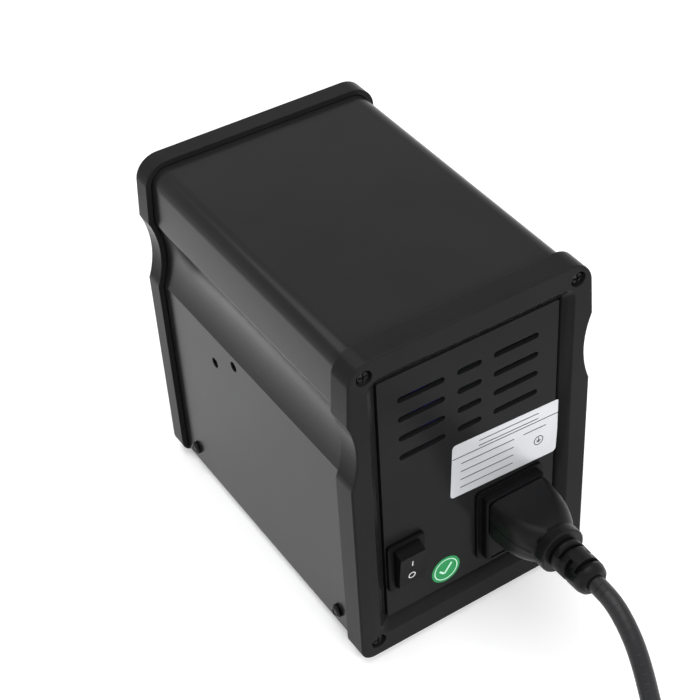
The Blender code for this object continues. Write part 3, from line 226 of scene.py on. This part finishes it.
def tube(points, radius, sides=14):
    """A round tube: a disc pulled along the route, turning with it."""
    bm = bmesh.new()
    along = (points[1] - points[0]).normalized()
    lean = Vector((0, 0, 1)).rotation_difference(along).to_matrix().to_4x4()
    start = Matrix.Translation(points[0]) @ lean
    end = bmesh.ops.create_circle(bm, cap_ends=True, segments=sides, radius=radius, matrix=start)
    cap = end["verts"][0].link_faces[0]
    for i in range(1, len(points)):
        ahead = (points[min(i + 1, len(points) - 1)] - points[i - 1]).normalized()
        grown = bmesh.ops.extrude_face_region(bm, geom=[cap])["geom"]
        cap = next(part for part in grown if isinstance(part, bmesh.types.BMFace))
        bend = along.rotation_difference(ahead).to_matrix().to_4x4()
        move = Matrix.Translation(points[i]) @ bend @ Matrix.Translation(-points[i - 1])
        bmesh.ops.transform(bm, matrix=move, verts=cap.verts)
        along = ahead
    bmesh.ops.recalc_face_normals(bm, faces=bm.faces)
    return bm


def piece(name, bm, mat, body, sharp=35):
    """A piece of the looks, riding on a body. Its mesh is in the frame's own axes."""
    mesh = bpy.data.meshes.new(name)
    bm.to_mesh(mesh)
    bm.free()
    mesh.shade_smooth()
    mesh.set_sharp_from_angle(angle=math.radians(sharp))
    mesh.materials.append(mat)
    obj = bpy.data.objects.new(name, mesh)
    bpy.context.scene.collection.objects.link(obj)
    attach(obj, body)
    return obj


# Materials. Every pattern is in object coordinates, which are metres, and sizes are given in mm.


def add(tree, kind, links=None, **settings):
    """Adds a node. Settings go to its properties, or to its sockets; links join other sockets to it."""
    node = tree.nodes.new(kind)
    for name, value in settings.items():
        if hasattr(node, name):
            setattr(node, name, value)
        else:
            node.inputs[name.replace("_", " ")].default_value = value
    for name, socket in (links or {}).items():
        tree.links.new(socket, node.inputs[name])
    return node


def new_material(name):
    """A material with one shader, and its node tree."""
    mat = bpy.data.materials.new(name)
    mat.use_nodes = True
    tree = mat.node_tree
    tree.nodes.clear()
    shader = add(tree, "ShaderNodeBsdfPrincipled")
    add(tree, "ShaderNodeOutputMaterial", {"Surface": shader.outputs[0]})
    return mat, tree, shader


def noise(tree, size_mm, detail, stretch=None):
    """Noise of the given grain in mm, from 0 to 1, drawn out along the axes where stretch is under 1."""
    coords = add(tree, "ShaderNodeTexCoord").outputs["Object"]
    if stretch:
        coords = add(tree, "ShaderNodeMapping", {"Vector": coords}, Scale=stretch).outputs[0]
    scale = 1000 / size_mm
    return add(tree, "ShaderNodeTexNoise", {"Vector": coords}, Scale=scale, Detail=detail).outputs["Fac"]


def spread(tree, value, low, high, from_low=0.3, from_high=0.7):
    """Takes a value from one range to another, held at both ends."""
    node = add(tree, "ShaderNodeMapRange", {"Value": value})
    for socket, number in zip(node.inputs[1:5], (from_low, from_high, low, high)):
        socket.default_value = number
    return node.outputs[0]


def blend_colours(tree, factor, first, second):
    """Mixes two colours, each a hex value or a socket."""
    node = add(tree, "ShaderNodeMix", data_type="RGBA")
    tree.links.new(factor, node.inputs["Factor"])
    for socket, colour in ((node.inputs[6], first), (node.inputs[7], second)):
        if isinstance(colour, str):
            socket.default_value = linear(colour)
        else:
            tree.links.new(colour, socket)
    return node.outputs[2]


# Grain sizes, in mm, of the slow change in a finish's colour and shine, and of the patches on edges painted
# lighter as wear and as highlight
CLOUDS_MM = 35
SHEEN_MM = 14
WEAR_AND_SHEEN_MM = 3.0
# How far a finish's roughness strays below and above its own
SHINIER = 0.01
DULLER = 0.015


def finish(
    name, dark, light, roughness, grain_mm, bump_mm, metallic=0.0, specular=0.5, edge_mm=0.3, wear_and_sheen=None
):
    """A finish with fine grain in its height, slow change in its colour and shine, and soft edges.

    edge_mm is the round of every edge, and the edge colour, if given, is painted lighter in patches on
    edges: partly wear, partly a painted highlight.
    """
    mat, tree, shader = new_material(name)
    clouds = noise(tree, CLOUDS_MM, 2.0)
    grain = noise(tree, grain_mm, 1.5)
    colour = blend_colours(tree, spread(tree, clouds, 0, 1), dark, light)
    shine = spread(tree, noise(tree, SHEEN_MM, 3.0), roughness - SHINIER, roughness + DULLER)
    rounded_edges = add(tree, "ShaderNodeBevel", samples=6)
    rounded_edges.inputs["Radius"].default_value = edge_mm / 1000
    # Edges are painted a lighter colour in patches: partly wear, partly a painted highlight.
    if wear_and_sheen:
        # The rounded normal leaves the true one only near an edge.
        true_normal = add(tree, "ShaderNodeNewGeometry").outputs["Normal"]
        normals = {0: rounded_edges.outputs[0], 1: true_normal}
        same = add(tree, "ShaderNodeVectorMath", normals, operation="DOT_PRODUCT").outputs["Value"]
        edge = spread(tree, same, 1.0, 0.0, 0.80, 0.995)
        patchy = spread(tree, noise(tree, WEAR_AND_SHEEN_MM, 3.0), 0.0, 0.8, 0.42, 0.62)
        worn_and_lit = add(tree, "ShaderNodeMath", {0: edge, 1: patchy}, operation="MULTIPLY").outputs[0]
        colour = blend_colours(tree, worn_and_lit, colour, wear_and_sheen)
    tree.links.new(colour, shader.inputs["Base Color"])
    tree.links.new(shine, shader.inputs["Roughness"])
    shader.inputs["Metallic"].default_value = metallic
    shader.inputs["Specular IOR Level"].default_value = specular
    links = {"Height": grain, "Normal": rounded_edges.outputs[0]}
    bump = add(tree, "ShaderNodeBump", links, Strength=1.0, Distance=bump_mm / 1000)
    tree.links.new(bump.outputs[0], shader.inputs["Normal"])
    return mat


# Black powder coat on folded steel: fine grain, and a weak gloss that is bright only at a flat angle.
# Its edges are painted lighter in patches: partly wear, partly a painted highlight.
POWDER = finish("powder_coat", "1B1B1C", "1E1E1F", 0.22, 0.55, 0.006, specular=0.13, wear_and_sheen="3A3A3C")
# ABS of the moulded ends and of the fuse drawer: fine grain, and weaker gloss than the coat.
# Its edges are painted lighter in patches: partly wear, partly a painted highlight.
MOULDED = finish("moulded_abs", "1E1E1F", "212122", 0.20, 0.40, 0.006, specular=0.04, wear_and_sheen="363637")
# Printed polycarbonate sheet on the front, almost smooth.
FRONT_SHEET = finish("front_sheet", "131415", "171718", 0.42, 0.30, 0.003, specular=0.15)
# Polyamide 66 of switches, knobs and inlet: the deepest black, its edges painted lighter in patches as wear
# and highlight.
NYLON = finish("nylon_half_gloss", "0C0C0D", "0F0F10", 0.42, 0.60, 0.003, specular=0.06, wear_and_sheen="2A2A2C")
# Plasticised PVC moulded round the plug and its relief: soft edges, a little waxy.
VINYL = finish("moulded_vinyl", "101011", "141415", 0.38, 0.50, 0.005, specular=0.15, edge_mm=0.5)
# Extruded PVC sheath of the lead: half matt, and a little greyer than the plug.
SHEATH = finish("lead_sheath", "1B1B1D", "212123", 0.38, 0.45, 0.006, specular=0.35)
# Cut rubber feet, quite matt.
RUBBER = finish("cut_rubber", "121213", "19191A", 0.75, 0.35, 0.015, specular=0.25)
# Blackened steel of the screws: dark, with the sheen of metal.
BLACKENED = finish("blackened_steel", "1A1A1C", "262628", 0.34, 0.30, 0.004, metallic=0.8, edge_mm=0.15)
# Bright nickel plate on sockets and pins.
NICKEL = finish("nickel_plate", "8F8C86", "A8A59E", 0.24, 0.40, 0.001, metallic=1.0, edge_mm=0.15)
# Zinc-plated steel, with the faint spangle that plating leaves.
ZINC = finish("zinc_plate", "8A8E92", "A2A6A9", 0.38, 1.20, 0.003, metallic=1.0)
# Epoxy glass board under green solder mask.
BOARD = finish("solder_mask", "12402A", "1B5A38", 0.35, 1.50, 0.008)
# Polyester tape round the winding, yellow-brown.
TAPE = finish("winding_tape", "8A5A1C", "A8752C", 0.45, 1.00, 0.020)
# Blue epoxy dip of a film capacitor.
BLUE_EPOXY = finish("blue_epoxy", "1E2AA8", "2C3CD0", 0.30, 0.80, 0.008)
# PVC sleeve of a can capacitor.
SLEEVE = finish("capacitor_sleeve", "15151A", "1C1C22", 0.30, 0.80, 0.004)
# Glass tube and nickel caps of the fuse, too small to tell apart in any view.
FUSE = finish("fuse_glass", "9A9C9C", "C4C6C6", 0.18, 0.60, 0.001, metallic=0.6)
# Nylon hook-and-loop strap: short fibres, so it is dull and rough.
STRAP = finish("strap_weave", "141416", "222225", 0.85, 0.35, 0.120, specular=0.2)
# Silk-screen ink on panels and switches.
INK = finish("white_ink", "D4D5D3", "E2E3E1", 0.50, 0.25, 0.002, specular=0.3, edge_mm=0.02)
# Ink of the label's ruled lines.
LABEL_INK = finish("grey_ink", "333437", "3E3F42", 0.50, 0.25, 0.001, specular=0.3, edge_mm=0.02)
# Polyester label film over aluminium: light grey with a cool cast, half glossy, almost even.
LABEL = finish("label_film", "C6C7CA", "D1D2D5", 0.34, 0.90, 0.002, metallic=0.25, edge_mm=0.05)
# Green printed foil.
FOIL = finish("green_foil", "0C8345", "12904F", 0.30, 0.90, 0.002, specular=0.3, edge_mm=0.05)
# The pale print on the green foil.
PALE_INK = finish("pale_green_ink", "BDEBD3", "D0F3E0", 0.35, 0.50, 0.001, specular=0.4, edge_mm=0.02)
# Unlit digits, warm grey epoxy under the window.
DIGIT = finish("unlit_digit", "A89C96", "B8ACA6", 0.40, 0.60, 0.002, edge_mm=0.05)


def core_steel():
    """Laminated electrical steel: sheets on edge, some of them darker."""
    mat, tree, shader = new_material("laminated_core")
    sheet, ridge = 0.0005, 0.00005
    # Blender's wave texture has 10 / pi bands to the metre at a scale of 1.
    bands = math.pi / 10 / sheet
    coords = add(tree, "ShaderNodeTexCoord").outputs["Object"]
    sheets = add(tree, "ShaderNodeTexWave", {"Vector": coords}, Scale=bands, Distortion=0.4)
    sheets.bands_direction = "Y"
    colour = blend_colours(tree, sheets.outputs["Fac"], "3C3E41", "6A6D70")
    tree.links.new(colour, shader.inputs["Base Color"])
    shader.inputs["Metallic"].default_value = 0.85
    shader.inputs["Roughness"].default_value = 0.5
    bump = add(tree, "ShaderNodeBump", {"Height": sheets.outputs["Fac"]}, Strength=1.0, Distance=ridge)
    tree.links.new(bump.outputs[0], shader.inputs["Normal"])
    return mat


def window_plastic():
    """Dark red see-through acrylic over the displays, with a few fine scuffs."""
    mat, tree, shader = new_material("smoked_window")
    shader.inputs["Base Color"].default_value = linear("B02830")
    shader.inputs["Transmission Weight"].default_value = 1.0
    shader.inputs["Specular IOR Level"].default_value = 0.3
    scuffs = spread(tree, noise(tree, 2.0, 4.0, (1, 1, 0.2)), 0.03, 0.10)
    tree.links.new(scuffs, shader.inputs["Roughness"])
    return mat


CORE = core_steel()
WINDOW = window_plastic()

FINISHES = {
    "cover_shell": POWDER,
    "chassis_tray": ZINC,
    "front_bezel": MOULDED,
    "rear_frame": MOULDED,
    "rear_panel": MOULDED,
    "fascia": FRONT_SHEET,
    "display_window": WINDOW,
    "display_board": BOARD,
    "power_board": BOARD,
    "foot": RUBBER,
    "mains_plug": VINYL,
    "strain_relief": VINYL,
    "wall_plug": VINYL,
    "cord_tie": STRAP,
    "cover_screw": BLACKENED,
    "front_screw": BLACKENED,
    "rear_screw": BLACKENED,
    "wall_pin": NICKEL,
    "inlet_contacts": NICKEL,
    "air_socket": NICKEL,
    "iron_socket": NICKEL,
    "pot": ZINC,
    "heat_sink": ZINC,
    "transformer_core": CORE,
    "transformer_winding": TAPE,
    "film_capacitor": BLUE_EPOXY,
    "reservoir_capacitor": SLEEVE,
    "fuse_drawer": MOULDED,
    "fuse": FUSE,
}


def finish_of(node):
    """The finish whose key is the longest start of the node's name, or else nylon."""
    keys = [key for key in FINISHES if node.startswith(key)]
    return FINISHES[max(keys, key=len)] if keys else NYLON


for node_name, node in frame["nodes"].items():
    node.data.materials.clear()
    node.data.materials.append(finish_of(node_name))

SLOT_OF = {part["node"]: part["material_slot"] for part in frame["record"]["subparts"]}
BODY_OF = {node: body for body, nodes in frame["record"]["behaviour"]["bodies"].items() for node in nodes}


def mains_lead():
    """The whole lead as one round tube."""
    points, total = smooth_route(lead_start() + coil_turns() + lead_end(), 0.003)
    lead = piece("mains_lead", tube(points, CORD_R), SHEATH, "mains_lead")
    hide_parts("mains_cord", "mains_cord_coil", "mains_cord_end")


# Turned, moulded and folded parts get true round faces: each is its CAD node's own mesh, made whole


def whole_copy(node, merge=2e-6, flat=math.radians(0.5)):
    """A bmesh of a CAD node with its loose triangles merged into faces."""
    bm = bmesh.new()
    bm.from_mesh(frame["nodes"][node].data)
    bmesh.ops.remove_doubles(bm, verts=bm.verts, dist=merge)
    bmesh.ops.dissolve_limit(bm, angle_limit=flat, verts=bm.verts, edges=bm.edges)
    return bm


def rounded_faces(node, sharp, bm=None):
    """A piece that stands for a node, smooth over its arcs and flat over its flats."""
    body, slot = BODY_OF[node], SLOT_OF[node]
    obj = piece(f"{node}_body", bm or whole_copy(node), finish_of(node), body, sharp)
    even = obj.modifiers.new("even", "WEIGHTED_NORMAL")
    even.keep_sharp = True
    depsgraph = bpy.context.evaluated_depsgraph_get()
    mesh = bpy.data.meshes.new_from_object(obj.evaluated_get(depsgraph))
    obj.modifiers.clear()
    obj.data = mesh
    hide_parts(node)


def cut_through(bm, place, normal):
    """Cuts the faces of a whole mesh along a plane."""
    whole = [*bm.verts, *bm.edges, *bm.faces]
    bmesh.ops.bisect_plane(bm, geom=whole, dist=1e-7, plane_co=place, plane_no=normal)


def mains_plug():
    """The plug, with the fine ridge that its mould leaves along both sides of the grip."""
    bm = whole_copy("mains_plug")
    margin, half, shoulder, ridge = 0.0010, 0.00035, 0.0001, 0.0002
    grip_start = PANEL_Y + INLET_STANDS + margin
    grip_end = PANEL_Y + INLET_STANDS + GRIP_LONG - margin
    for height in (PLUG_Z - half, PLUG_Z + half):
        cut_through(bm, (0, 0, height), (0, 0, 1))
    for distance in (grip_start, grip_end):
        cut_through(bm, (0, distance, 0), (0, 1, 0))
    strip = []
    for face in bm.faces:
        middle = face.calc_center_median()
        on_grip = grip_start < middle.y < grip_end
        if on_grip and abs(middle.z - PLUG_Z) < half and abs(face.normal.x) > 0.5:
            strip.append(face)
    bmesh.ops.inset_region(bm, faces=strip, thickness=shoulder, depth=ridge)
    rounded_faces("mains_plug", 40, bm)


KNOBS = ("knob_air_temp", "knob_iron_temp", "knob_airflow")
SOCKETS = ("air_socket", "iron_socket")
ROCKERS = ("power_rocker", "air_rocker", "iron_rocker")
WALL_PINS = ("wall_pin_line", "wall_pin_neutral")
FEET = ("foot_1", "foot_2", "foot_3", "foot_4")
SCREWS = tuple(name for name in sorted(frame["nodes"]) if "screw" in name)

# The pieces whose faces look round, by the angle in degrees from which an edge stays sharp
ROUNDED = (
    (40, ("strain_relief",)),
    (24, ("cover_shell", "front_bezel", "rear_frame", "cord_tie")),
    (42, KNOBS),
    (32, (*SOCKETS, "wall_plug", *ROCKERS)),
    (40, (*WALL_PINS, *FEET, "reservoir_capacitor", *SCREWS)),
)

mains_plug()
for sharp_from, node_names in ROUNDED:
    for node_name in node_names:
        rounded_faces(node_name, sharp_from)
mains_lead()


# Printed marks, stickers and other pieces that only the looks have

INK_THICK = 0.00008
STUCK_ON = 0.00002


def bar(length, width, thick=INK_THICK):
    """A thin bar, its length along X, standing on the plane Y = 0 towards +Y."""
    bm = bmesh.new()
    stretch = Matrix.Diagonal((length, thick, width, 1))
    bmesh.ops.create_cube(bm, size=1.0, matrix=Matrix.Translation((0, thick / 2, 0)) @ stretch)
    return bm


def round_corners(width, height, radius, thick):
    """A thin plate with round corners, standing on the plane Y = 0 towards +Y."""
    bm = bar(width, height, thick)
    corners = [e for e in bm.edges if abs(e.verts[0].co.y - e.verts[1].co.y) > thick / 2]
    bmesh.ops.bevel(bm, geom=corners, offset=radius, segments=8, profile=0.5, affect="EDGES", material=-1)
    return bm


def thickened(bm, thick):
    """Gives flat faces on the plane Y = 0 a thickness towards +Y."""
    grown = bmesh.ops.extrude_face_region(bm, geom=list(bm.faces), use_keep_orig=True)["geom"]
    moved = [part for part in grown if isinstance(part, bmesh.types.BMVert)]
    bmesh.ops.translate(bm, verts=moved, vec=(0, thick, 0))
    bmesh.ops.recalc_face_normals(bm, faces=bm.faces)
    return bm


def disc(radius, thick, inner=0.0, sides=64):
    """A thin disc or ring, standing on the plane Y = 0 towards +Y."""
    bm = bmesh.new()
    bmesh.ops.create_circle(bm, cap_ends=not inner, segments=sides, radius=radius, matrix=UPRIGHT)
    if inner:
        bmesh.ops.create_circle(bm, segments=sides, radius=inner, matrix=UPRIGHT)
        bmesh.ops.bridge_loops(bm, edges=bm.edges)
    return thickened(bm, thick)


def placed(bm, location, turn=FACING_REAR):
    """Moves a bmesh from its own axes to its place."""
    bmesh.ops.transform(bm, matrix=Matrix.Translation(location) @ turn, verts=bm.verts)
    return bm


def together(parts):
    """One bmesh of several."""
    whole = bmesh.new()
    for part in parts:
        mesh = bpy.data.meshes.new("joined")
        part.to_mesh(mesh)
        part.free()
        whole.from_mesh(mesh)
        bpy.data.meshes.remove(mesh)
    return whole


def written(text, size, location):
    """Upright numerals on the front sheet, as a mesh."""
    curve = bpy.data.curves.new("numerals", "FONT")
    curve.body = text
    curve.size = size
    curve.extrude = INK_THICK / 2
    curve.align_x = "CENTER"
    curve.align_y = "CENTER"
    curve.resolution_u = 3
    holder = bpy.data.objects.new("numerals", curve)
    bpy.context.scene.collection.objects.link(holder)
    mesh = bpy.data.meshes.new_from_object(holder)
    bm = bmesh.new()
    bm.from_mesh(mesh)
    bpy.data.objects.remove(holder)
    bpy.data.curves.remove(curve)
    bpy.data.meshes.remove(mesh)
    return placed(bm, location, UPRIGHT)


def middle_of(node):
    """The middle of a node's box."""
    low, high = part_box(node)
    return (low + high) / 2


def rocker_marks(name, panel_y, facing):
    """The I and the O on a rocker, each lying on its own slope of the face."""
    switch = middle_of(f"{name}_switch")
    pivot = Vector((switch.x, panel_y, switch.z)) + facing @ Vector((0, ROCKER_PIVOT_OUT, 0))
    rest = Matrix.Translation(pivot) @ facing @ Matrix.Rotation(-ROCKER_TILT, 4, "X")
    slope = math.atan((FACE_END_OUT - FACE_MIDDLE_OUT) / FACE_END_UP)
    stroke, i_tall, o_outer, o_inner = 0.0004, 0.0026, 0.0015, 0.0011
    from_middle, sunk = 0.0033, 0.00003
    out = ROCKER_R * FACE_MIDDLE_OUT + from_middle * math.tan(slope) - sunk
    marks = []
    for side, mark in ((1, bar(stroke, i_tall)), (-1, disc(o_outer, INK_THICK, o_inner, 32))):
        lean = Matrix.Rotation(-side * slope, 4, "X")
        marks.append(placed(mark, (0, out, side * from_middle), lean))
    bm = placed(together(marks), (0, 0, 0), rest)
    piece(f"{name}_rocker_marks", bm, INK, f"{name}_rocker")


rocker_marks("power", PANEL_Y, FACING_REAR)
rocker_marks("air", FASCIA_Y, FACING_FRONT)
rocker_marks("iron", FASCIA_Y, FACING_FRONT)


LABEL_X = -0.0150
LABEL_Z = BASE + 0.0689
LABEL_LEAN = math.radians(-2.7)
LABEL_W = 0.0468
LABEL_H = 0.0250
LABEL_CORNER_R = 0.0017
LABEL_THICK = 0.00012
RULED_W = 0.0003


def ruled_lines():
    """The label's lines: one across it, two over that, and four and a short one under it."""
    across, over, under = (LABEL_H / 2 - down for down in (0.0064, 0.0026, 0.0098))
    over_apart, under_apart, margin = 0.0024, 0.0038, 0.0003
    # Each line's length, and how far its middle is from the label's, to the side and up
    rows = [(LABEL_W - 2 * margin, 0, across)]
    rows += [(0.0260, -0.0010, over - over_apart * row) for row in range(2)]
    rows += [(0.0230, 0.0078, under - under_apart * row) for row in range(4)]
    rows.append((0.0100, -0.0128, under))
    return [placed(bar(length, RULED_W), (x, LABEL_THICK, z)) for length, x, z in rows]


def earth_sign(x=-0.0150, z=-0.0034):
    """A ring round a stem on three bars, each shorter than the one above it."""
    ring_r, ring_inner, stem_long, stem_up = 0.0021, 0.0018, 0.0014, 0.0008
    bar_long, shorter, bar_w, apart = 0.0020, 0.0006, 0.0002, 0.0004
    ring = disc(ring_r, INK_THICK, ring_inner, 40)
    stem = bar(RULED_W, stem_long)
    marks = [placed(ring, (x, LABEL_THICK, z)), placed(stem, (x, LABEL_THICK, z + stem_up))]
    for row in range(3):
        ground = bar(bar_long - shorter * row, bar_w)
        marks.append(placed(ground, (x, LABEL_THICK, z - apart * row)))
    return marks


def rating_label():
    """The label over the inlet, a little askew. Its lines are ruled and its fields are blank."""
    place = (LABEL_X, PANEL_Y + STUCK_ON, LABEL_Z)
    turn = Matrix.Rotation(LABEL_LEAN, 4, "Y")
    film = placed(round_corners(LABEL_W, LABEL_H, LABEL_CORNER_R, LABEL_THICK), place, turn)
    piece("rating_label", film, LABEL, "case")
    marks = placed(together(ruled_lines() + earth_sign()), place, turn)
    piece("rating_label_lines", marks, LABEL_INK, "case")


def round_sticker():
    """A round green sticker with a pale ring and a tick."""
    place = (0.0114, PANEL_Y + STUCK_ON, BASE + 0.0229)
    sticker_r, ring_r, ring_inner, arm_w = 0.00615, 0.0051, 0.0047, 0.0008
    foil_thick, ink_thick = 0.0001, 0.00006
    piece("round_sticker", placed(disc(sticker_r, foil_thick), place), FOIL, "case")
    marks = [placed(disc(ring_r, ink_thick, ring_inner), (0, foil_thick, 0))]
    # Each arm's length, middle and lean. From behind, the tick's short arm is on the left, which is +X.
    for length, x, z, lean in ((0.0026, 0.0018, -0.0008, -45), (0.0054, -0.0009, 0.0002, 52)):
        turn = Matrix.Rotation(math.radians(lean), 4, "Y")
        marks.append(placed(bar(length, arm_w), (x, foil_thick, z), turn))
    piece("round_sticker_print", placed(together(marks), place), PALE_INK, "case")


rating_label()
round_sticker()


def knob_pointer(name):
    """A white line across the knob's edge, pointing up at rest."""
    centre = middle_of(name)
    length, width, middle_up = 0.0036, 0.0007, 0.0038
    at = (centre.x, FASCIA_Y - KNOB_TALL, centre.z + middle_up)
    line = placed(bar(width, length), at, FACING_FRONT)
    piece(f"{name}_pointer", line, INK, name)


TICKS = 11
TICK_W = 0.00025
TICK_LONG = 0.0013
TICK_AT = 0.0102
NUMBER_AT = 0.0127
WIDE_NUMBER_AT = 0.0133
NUMBER_TALL = 0.0024


def dial(name, numbers):
    """Ticks and numbers round a knob, from its one stop to its other."""
    centre = middle_of(name)
    parts = []
    for i in range(TICKS):
        turn = math.radians(2 * KNOB_STOP * i / (TICKS - 1) - KNOB_STOP)
        at = (centre.x + TICK_AT * math.sin(turn), FASCIA_Y, centre.z + TICK_AT * math.cos(turn))
        outwards = FACING_FRONT @ Matrix.Rotation(-turn, 4, "Y")
        parts.append(placed(bar(TICK_W, TICK_LONG), at, outwards))
    for i, number in enumerate(numbers):
        turn = math.radians(2 * KNOB_STOP * i / (len(numbers) - 1) - KNOB_STOP)
        across = WIDE_NUMBER_AT if len(number) > 1 else NUMBER_AT
        at = (centre.x + across * math.sin(turn), FASCIA_Y, centre.z + NUMBER_AT * math.cos(turn))
        parts.append(written(number, NUMBER_TALL, at))
    return parts


def front_print():
    """Everything printed on the front sheet, as one piece."""
    degrees = ("100", "200", "300", "400", "500")
    parts = dial("knob_air_temp", degrees) + dial("knob_iron_temp", degrees)
    parts += dial("knob_airflow", ("1", "2", "3", "4", "5", "6", "7", "8"))
    piece("front_print", together(parts), INK, "case")


for knob in KNOBS:
    knob_pointer(knob)
front_print()


DIGIT_W = 0.0046
DIGIT_H = 0.0088
DIGIT_STROKE = 0.0009
DIGIT_THICK = 0.00015
DIGIT_PITCH = 0.0085


def digit_bar(length):
    """One segment of a digit: a flat bar with pointed ends."""
    bm = bmesh.new()
    corner_r = DIGIT_STROKE / math.sqrt(3)
    bmesh.ops.create_circle(bm, cap_ends=True, segments=6, radius=corner_r, matrix=UPRIGHT)
    for vert in bm.verts:
        vert.co.x += math.copysign(length / 2 - corner_r, vert.co.x)
    return thickened(bm, DIGIT_THICK)


def digit(x, y, z):
    """An eight of seven segments, its middle at a place on the display board."""
    # The pointed ends leave a narrow gap between segments.
    across = DIGIT_W - DIGIT_STROKE
    along = DIGIT_H / 2 - 0.6 * DIGIT_STROKE
    upright = FACING_FRONT @ Matrix.Rotation(math.pi / 2, 4, "Y")
    parts = []
    for level in (-1, 0, 1):
        parts.append(placed(digit_bar(across), (x, y, z + level * DIGIT_H / 2), FACING_FRONT))
    for side in (-1, 1):
        for level in (-1, 1):
            at = (x + side * DIGIT_W / 2, y, z + level * DIGIT_H / 4)
            parts.append(placed(digit_bar(along), at, upright))
    return parts


def display_digits():
    """Three unlit seven-segment digits behind each window."""
    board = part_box("display_board")[0].y
    for name in ("air", "iron"):
        centre = middle_of(f"display_window_{name}")
        parts = []
        for column in (-1, 0, 1):
            parts += digit(centre.x + column * DIGIT_PITCH, board, centre.z)
        piece(f"display_digits_{name}", together(parts), DIGIT, "case")


display_digits()


# Stage and light

# Strengths: from near to far on the floor, and from low to high in the sky
FLOOR_LIFT = (0.28, 0.95)
SKY = (0.02, 0.68)
BACKDROP = (1.0, 0.6)


def seen_directly(tree):
    """1 for rays from the camera and for those that metal and glass send on, otherwise 0."""
    ray = add(tree, "ShaderNodeLightPath")
    seen = ray.outputs["Is Camera Ray"]
    for other in ("Is Glossy Ray", "Is Transmission Ray"):
        seen = add(tree, "ShaderNodeMath", {0: seen, 1: ray.outputs[other]}, operation="MAXIMUM").outputs[0]
    return seen


def stage():
    """A pale floor. What it sends to the eye is lifted to white, more so far off, and keeps the shadow."""
    near, far, half_side, under = 0.6, 1.8, 4.0, 0.0001
    bm = bmesh.new()
    bmesh.ops.create_grid(bm, x_segments=1, y_segments=1, size=half_side)
    mesh = bpy.data.meshes.new("floor")
    bm.to_mesh(mesh)
    bm.free()
    mat, tree, shader = new_material("floor")
    shader.inputs["Base Color"].default_value = linear("F0F0F0")
    shader.inputs["Roughness"].default_value = 0.9
    shader.inputs["Emission Color"].default_value = linear("FFFFFF")
    place = add(tree, "ShaderNodeTexCoord").outputs["Object"]
    distance = add(tree, "ShaderNodeVectorMath", {0: place}, operation="LENGTH").outputs["Value"]
    lift = spread(tree, distance, *FLOOR_LIFT, near, far)
    lift = add(tree, "ShaderNodeMath", {0: seen_directly(tree), 1: lift}, operation="MULTIPLY")
    tree.links.new(lift.outputs[0], shader.inputs["Emission Strength"])
    mesh.materials.append(mat)
    floor = bpy.data.objects.new("floor", mesh)
    floor.location = (0, 0, -under)
    bpy.context.scene.collection.objects.link(floor)


def area_light(name, location, aim, size, power, shines=True):
    """A soft lamp, seen by no camera. One that doesn't shine gives light without a highlight."""
    data = bpy.data.lights.new(name, "AREA")
    data.shape = "RECTANGLE"
    data.size, data.size_y = size
    data.energy = power
    light = bpy.data.objects.new(name, data)
    light.location = location
    light.rotation_euler = (Vector(aim) - Vector(location)).to_track_quat("-Z", "Y").to_euler()
    light.visible_camera = False
    light.visible_glossy = shines
    bpy.context.scene.collection.objects.link(light)


def sky():
    """Soft light from above. To the eye and in gloss it is a white backdrop, greyer overhead."""
    world = bpy.data.worlds.new("world")
    world.use_nodes = True
    tree = world.node_tree
    tree.nodes.clear()
    direction = add(tree, "ShaderNodeTexCoord").outputs["Generated"]
    height = add(tree, "ShaderNodeSeparateXYZ", {"Vector": direction}).outputs["Z"]
    strength = add(tree, "ShaderNodeMix", {"Factor": seen_directly(tree)})
    horizon, low, high = 0.0, 0.2, 0.75
    tree.links.new(spread(tree, height, *SKY, horizon, high), strength.inputs[2])
    tree.links.new(spread(tree, height, *BACKDROP, low, high), strength.inputs[3])
    backdrop = add(tree, "ShaderNodeBackground", {"Strength": strength.outputs[0]}, Color=linear("FFFFFF"))
    add(tree, "ShaderNodeOutputWorld", {"Surface": backdrop.outputs[0]})
    bpy.context.scene.world = world


stage()
sky()
area_light("ceiling", (0.0, 0.0, 0.80), aim=(0, 0, 0), size=(0.6, 0.6), power=2.4)
area_light("rear", (0.0, 1.25, 0.75), aim=(0, 0.05, 0.05), size=(0.9, 0.6), power=15, shines=False)
area_light("low", (0.17, -0.15, 0.42), aim=(0.13, -0.11, 0), size=(0.25, 0.25), power=0.5)
bpy.context.scene.view_settings.view_transform = "Standard"
